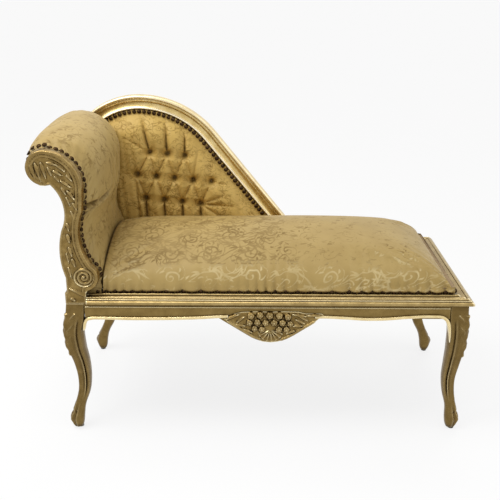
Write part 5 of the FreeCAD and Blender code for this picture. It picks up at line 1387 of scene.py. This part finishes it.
seat_foot, seat_axis = min(nail_places("seat_nails_front"), key=lambda nail: nail[0][0])
crest_row = sorted(nail_places("crest_nails_front"), key=lambda nail: nail[0][0])
close_places = {"seat_nails_front": [(seat_foot - np.array([NAIL_PITCH * step, 0, 0]) * 0.001, seat_axis)
                                     for step in (1, 2)],
                "crest_nails_front": crest_nails_past(crest_row[0], -1) + crest_nails_past(crest_row[-1], 1)}
rim_line = evenly([p for p in POST_RIM if p[1] > 356 or p[0] > 70], 2000)
rim_along = walked(rim_line)
rim_out = np.gradient(rim_line, axis=0)
rim_out = np.column_stack([-rim_out[:, 1], rim_out[:, 0]]) / np.linalg.norm(rim_out, axis=1)[:, None]
rim_places = {}
for node, side in (("arm_nails_front", -1), ("arm_nails_rear", 1)):
    rim_places[node] = [nail for nail in nail_places(node) if nail[0][0] * 1000 - HEAD_X < SCROLL[0]]
    for at in np.arange(9.0, rim_along[-1], NAIL_PITCH):
        u, z = [np.interp(at, rim_along, rim_line[:, i]) for i in (0, 1)]
        out_x, out_z = [np.interp(at, rim_along, rim_out[:, i]) for i in (0, 1)]
        foot = np.array([HEAD_X + u + out_x, side * ARM_NAIL_Y, z + out_z]) * 0.001
        rim_places[node].append((foot, np.array([out_x, 0, out_z])))
tree = nail_tree()
inputs = {item.name: item.identifier for item in tree.interface.items_tree if item.in_out == "INPUT"}
for node in ("seat_nails_front", "seat_nails_foot", "seat_nails_rear", "crest_nails_front",
             "back_nails_rear", "arm_nails_front", "arm_nails_rear"):
    places = rim_places[node] if node in rim_places else nail_places(node) + close_places.get(node, [])
    points_mesh = bpy.data.meshes.new(node + "_places")
    points_mesh.from_pydata([tuple(foot) for foot, _ in places], [], [])
    outward_mark = points_mesh.attributes.new("outward", "FLOAT_VECTOR", "POINT")
    outward_mark.data.foreach_set("vector", np.array([axis for _, axis in places], float).ravel())
    carrier = add_object(node + "_carrier", points_mesh)
    nailing = carrier.modifiers.new("nails", "NODES")
    nailing.node_group = tree
    nailing[inputs["Nail head"]] = nail_head
    nailing[inputs["Finish"]] = bronze
    nailing[inputs["Uneven"]] = 0.05
    evaluated = carrier.evaluated_get(bpy.context.evaluated_depsgraph_get())
    driven_mesh = bpy.data.meshes.new_from_object(evaluated)
    driven_mesh.name = "driven_" + node
    bpy.data.objects.remove(carrier)
    nails = add_object("driven_" + node, driven_mesh)
    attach(nails, "root")
    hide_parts(node)
bpy.data.objects.remove(nail_head)

# Studio. A plain pale floor, soft light from above, a soft box at the left, weaker light from the right
# and from behind, and the camera where the photograph was taken.
FLOOR_GLOW = 0.82
SKY_LEVEL = 0.36


def seen_directly(tree, otherwise, level):
    """A level for what the camera sees, also in a mirror or through glass, and another for other rays."""
    paths = tree.nodes.new("ShaderNodeLightPath")
    seen = paths.outputs["Is Camera Ray"]
    for other in ("Is Glossy Ray", "Is Transmission Ray"):
        either = tree.nodes.new("ShaderNodeMath")
        either.operation = "MAXIMUM"
        tree.links.new(seen, either.inputs[0])
        tree.links.new(paths.outputs[other], either.inputs[1])
        seen = either.outputs["Value"]
    return spread(tree, seen, 0.0, 1.0, otherwise, level)


floor_finish, tree, shader, place = new_finish("pale_floor")
tone = grain(tree, place, 3.0, 2.0)
pale = colour_ramp(tree, tone, [(0.3, (0.965, 0.965, 0.965)), (0.7, (0.975, 0.975, 0.975))])
feed(tree, shader, Base_Color=pale, Roughness=0.9, Specular_IOR_Level=0.1)
glow = add_node(tree, "ShaderNodeEmission", Strength=1.0)
whitened = add_node(tree, "ShaderNodeMixShader", Fac=seen_directly(tree, 0.0, FLOOR_GLOW))
tree.links.new(shader.outputs["BSDF"], whitened.inputs[1])
tree.links.new(glow.outputs["Emission"], whitened.inputs[2])
feed(tree, tree.nodes["Material Output"], Surface=whitened.outputs["Shader"])
floor_mesh = bpy.data.meshes.new("floor")
floor_mesh.from_pydata([(-30, -30, 0), (30, -30, 0), (30, 30, 0), (-30, 30, 0)], [], [(0, 1, 2, 3)])
floor_mesh.materials.append(floor_finish)
floor = add_object("floor", floor_mesh)

world = bpy.data.worlds.new("studio")
world.use_nodes = True
bpy.context.scene.world = world
tree = world.node_tree
feed(tree, tree.nodes["Background"], Color=(1.0, 1.0, 1.0, 1.0),
     Strength=seen_directly(tree, SKY_LEVEL, 1.0))

for label, strength, size, tilt, turn in (("key", 0.52, 26.0, 10.0, -20.0), ("fill", 0.42, 60.0, 60.0, 75.0),
                                          ("rim", 0.45, 30.0, -35.0, -15.0)):
    lamp = bpy.data.lights.new(label, "SUN")
    lamp.energy = strength
    lamp.angle = math.radians(size)
    add_object(label, lamp).rotation_euler = (math.radians(tilt), 0.0, math.radians(turn))

soft_box = bpy.data.lights.new("soft_box", "AREA")
soft_box.energy = 22.0
soft_box.size = 1.2
soft_box_object = add_object("soft_box", soft_box)
soft_box_object.location = (-1.0, -0.4, 2.0)
toward = Vector((-0.1, 0.0, 0.4)) - soft_box_object.location
soft_box_object.rotation_euler = toward.to_track_quat("-Z", "Y").to_euler()

PITCH = 0.347905
ROLL = -0.004927
CAMERA_AT = (-0.0167, -1.756651, 1.000486)
FOCAL_PIXELS = 780
PHOTO_PIXELS = 500
camera_data = bpy.data.cameras.new("camera")
camera_data.sensor_width = 36.0
camera_data.lens = FOCAL_PIXELS / PHOTO_PIXELS * camera_data.sensor_width
camera = add_object("camera", camera_data)
look = Vector((0, math.cos(PITCH), -math.sin(PITCH)))
right = Vector((1, 0, 0))
down = Vector((0, -math.sin(PITCH), -math.cos(PITCH)))
turned_right = right * math.cos(ROLL) + down * math.sin(ROLL)
turned_down = down * math.cos(ROLL) - right * math.sin(ROLL)
axes = Matrix((turned_right, -turned_down, -look)).transposed().to_4x4()
camera.matrix_world = Matrix.Translation(CAMERA_AT) @ axes
bpy.context.scene.camera = camera
bpy.context.scene.view_settings.view_transform = "Standard"
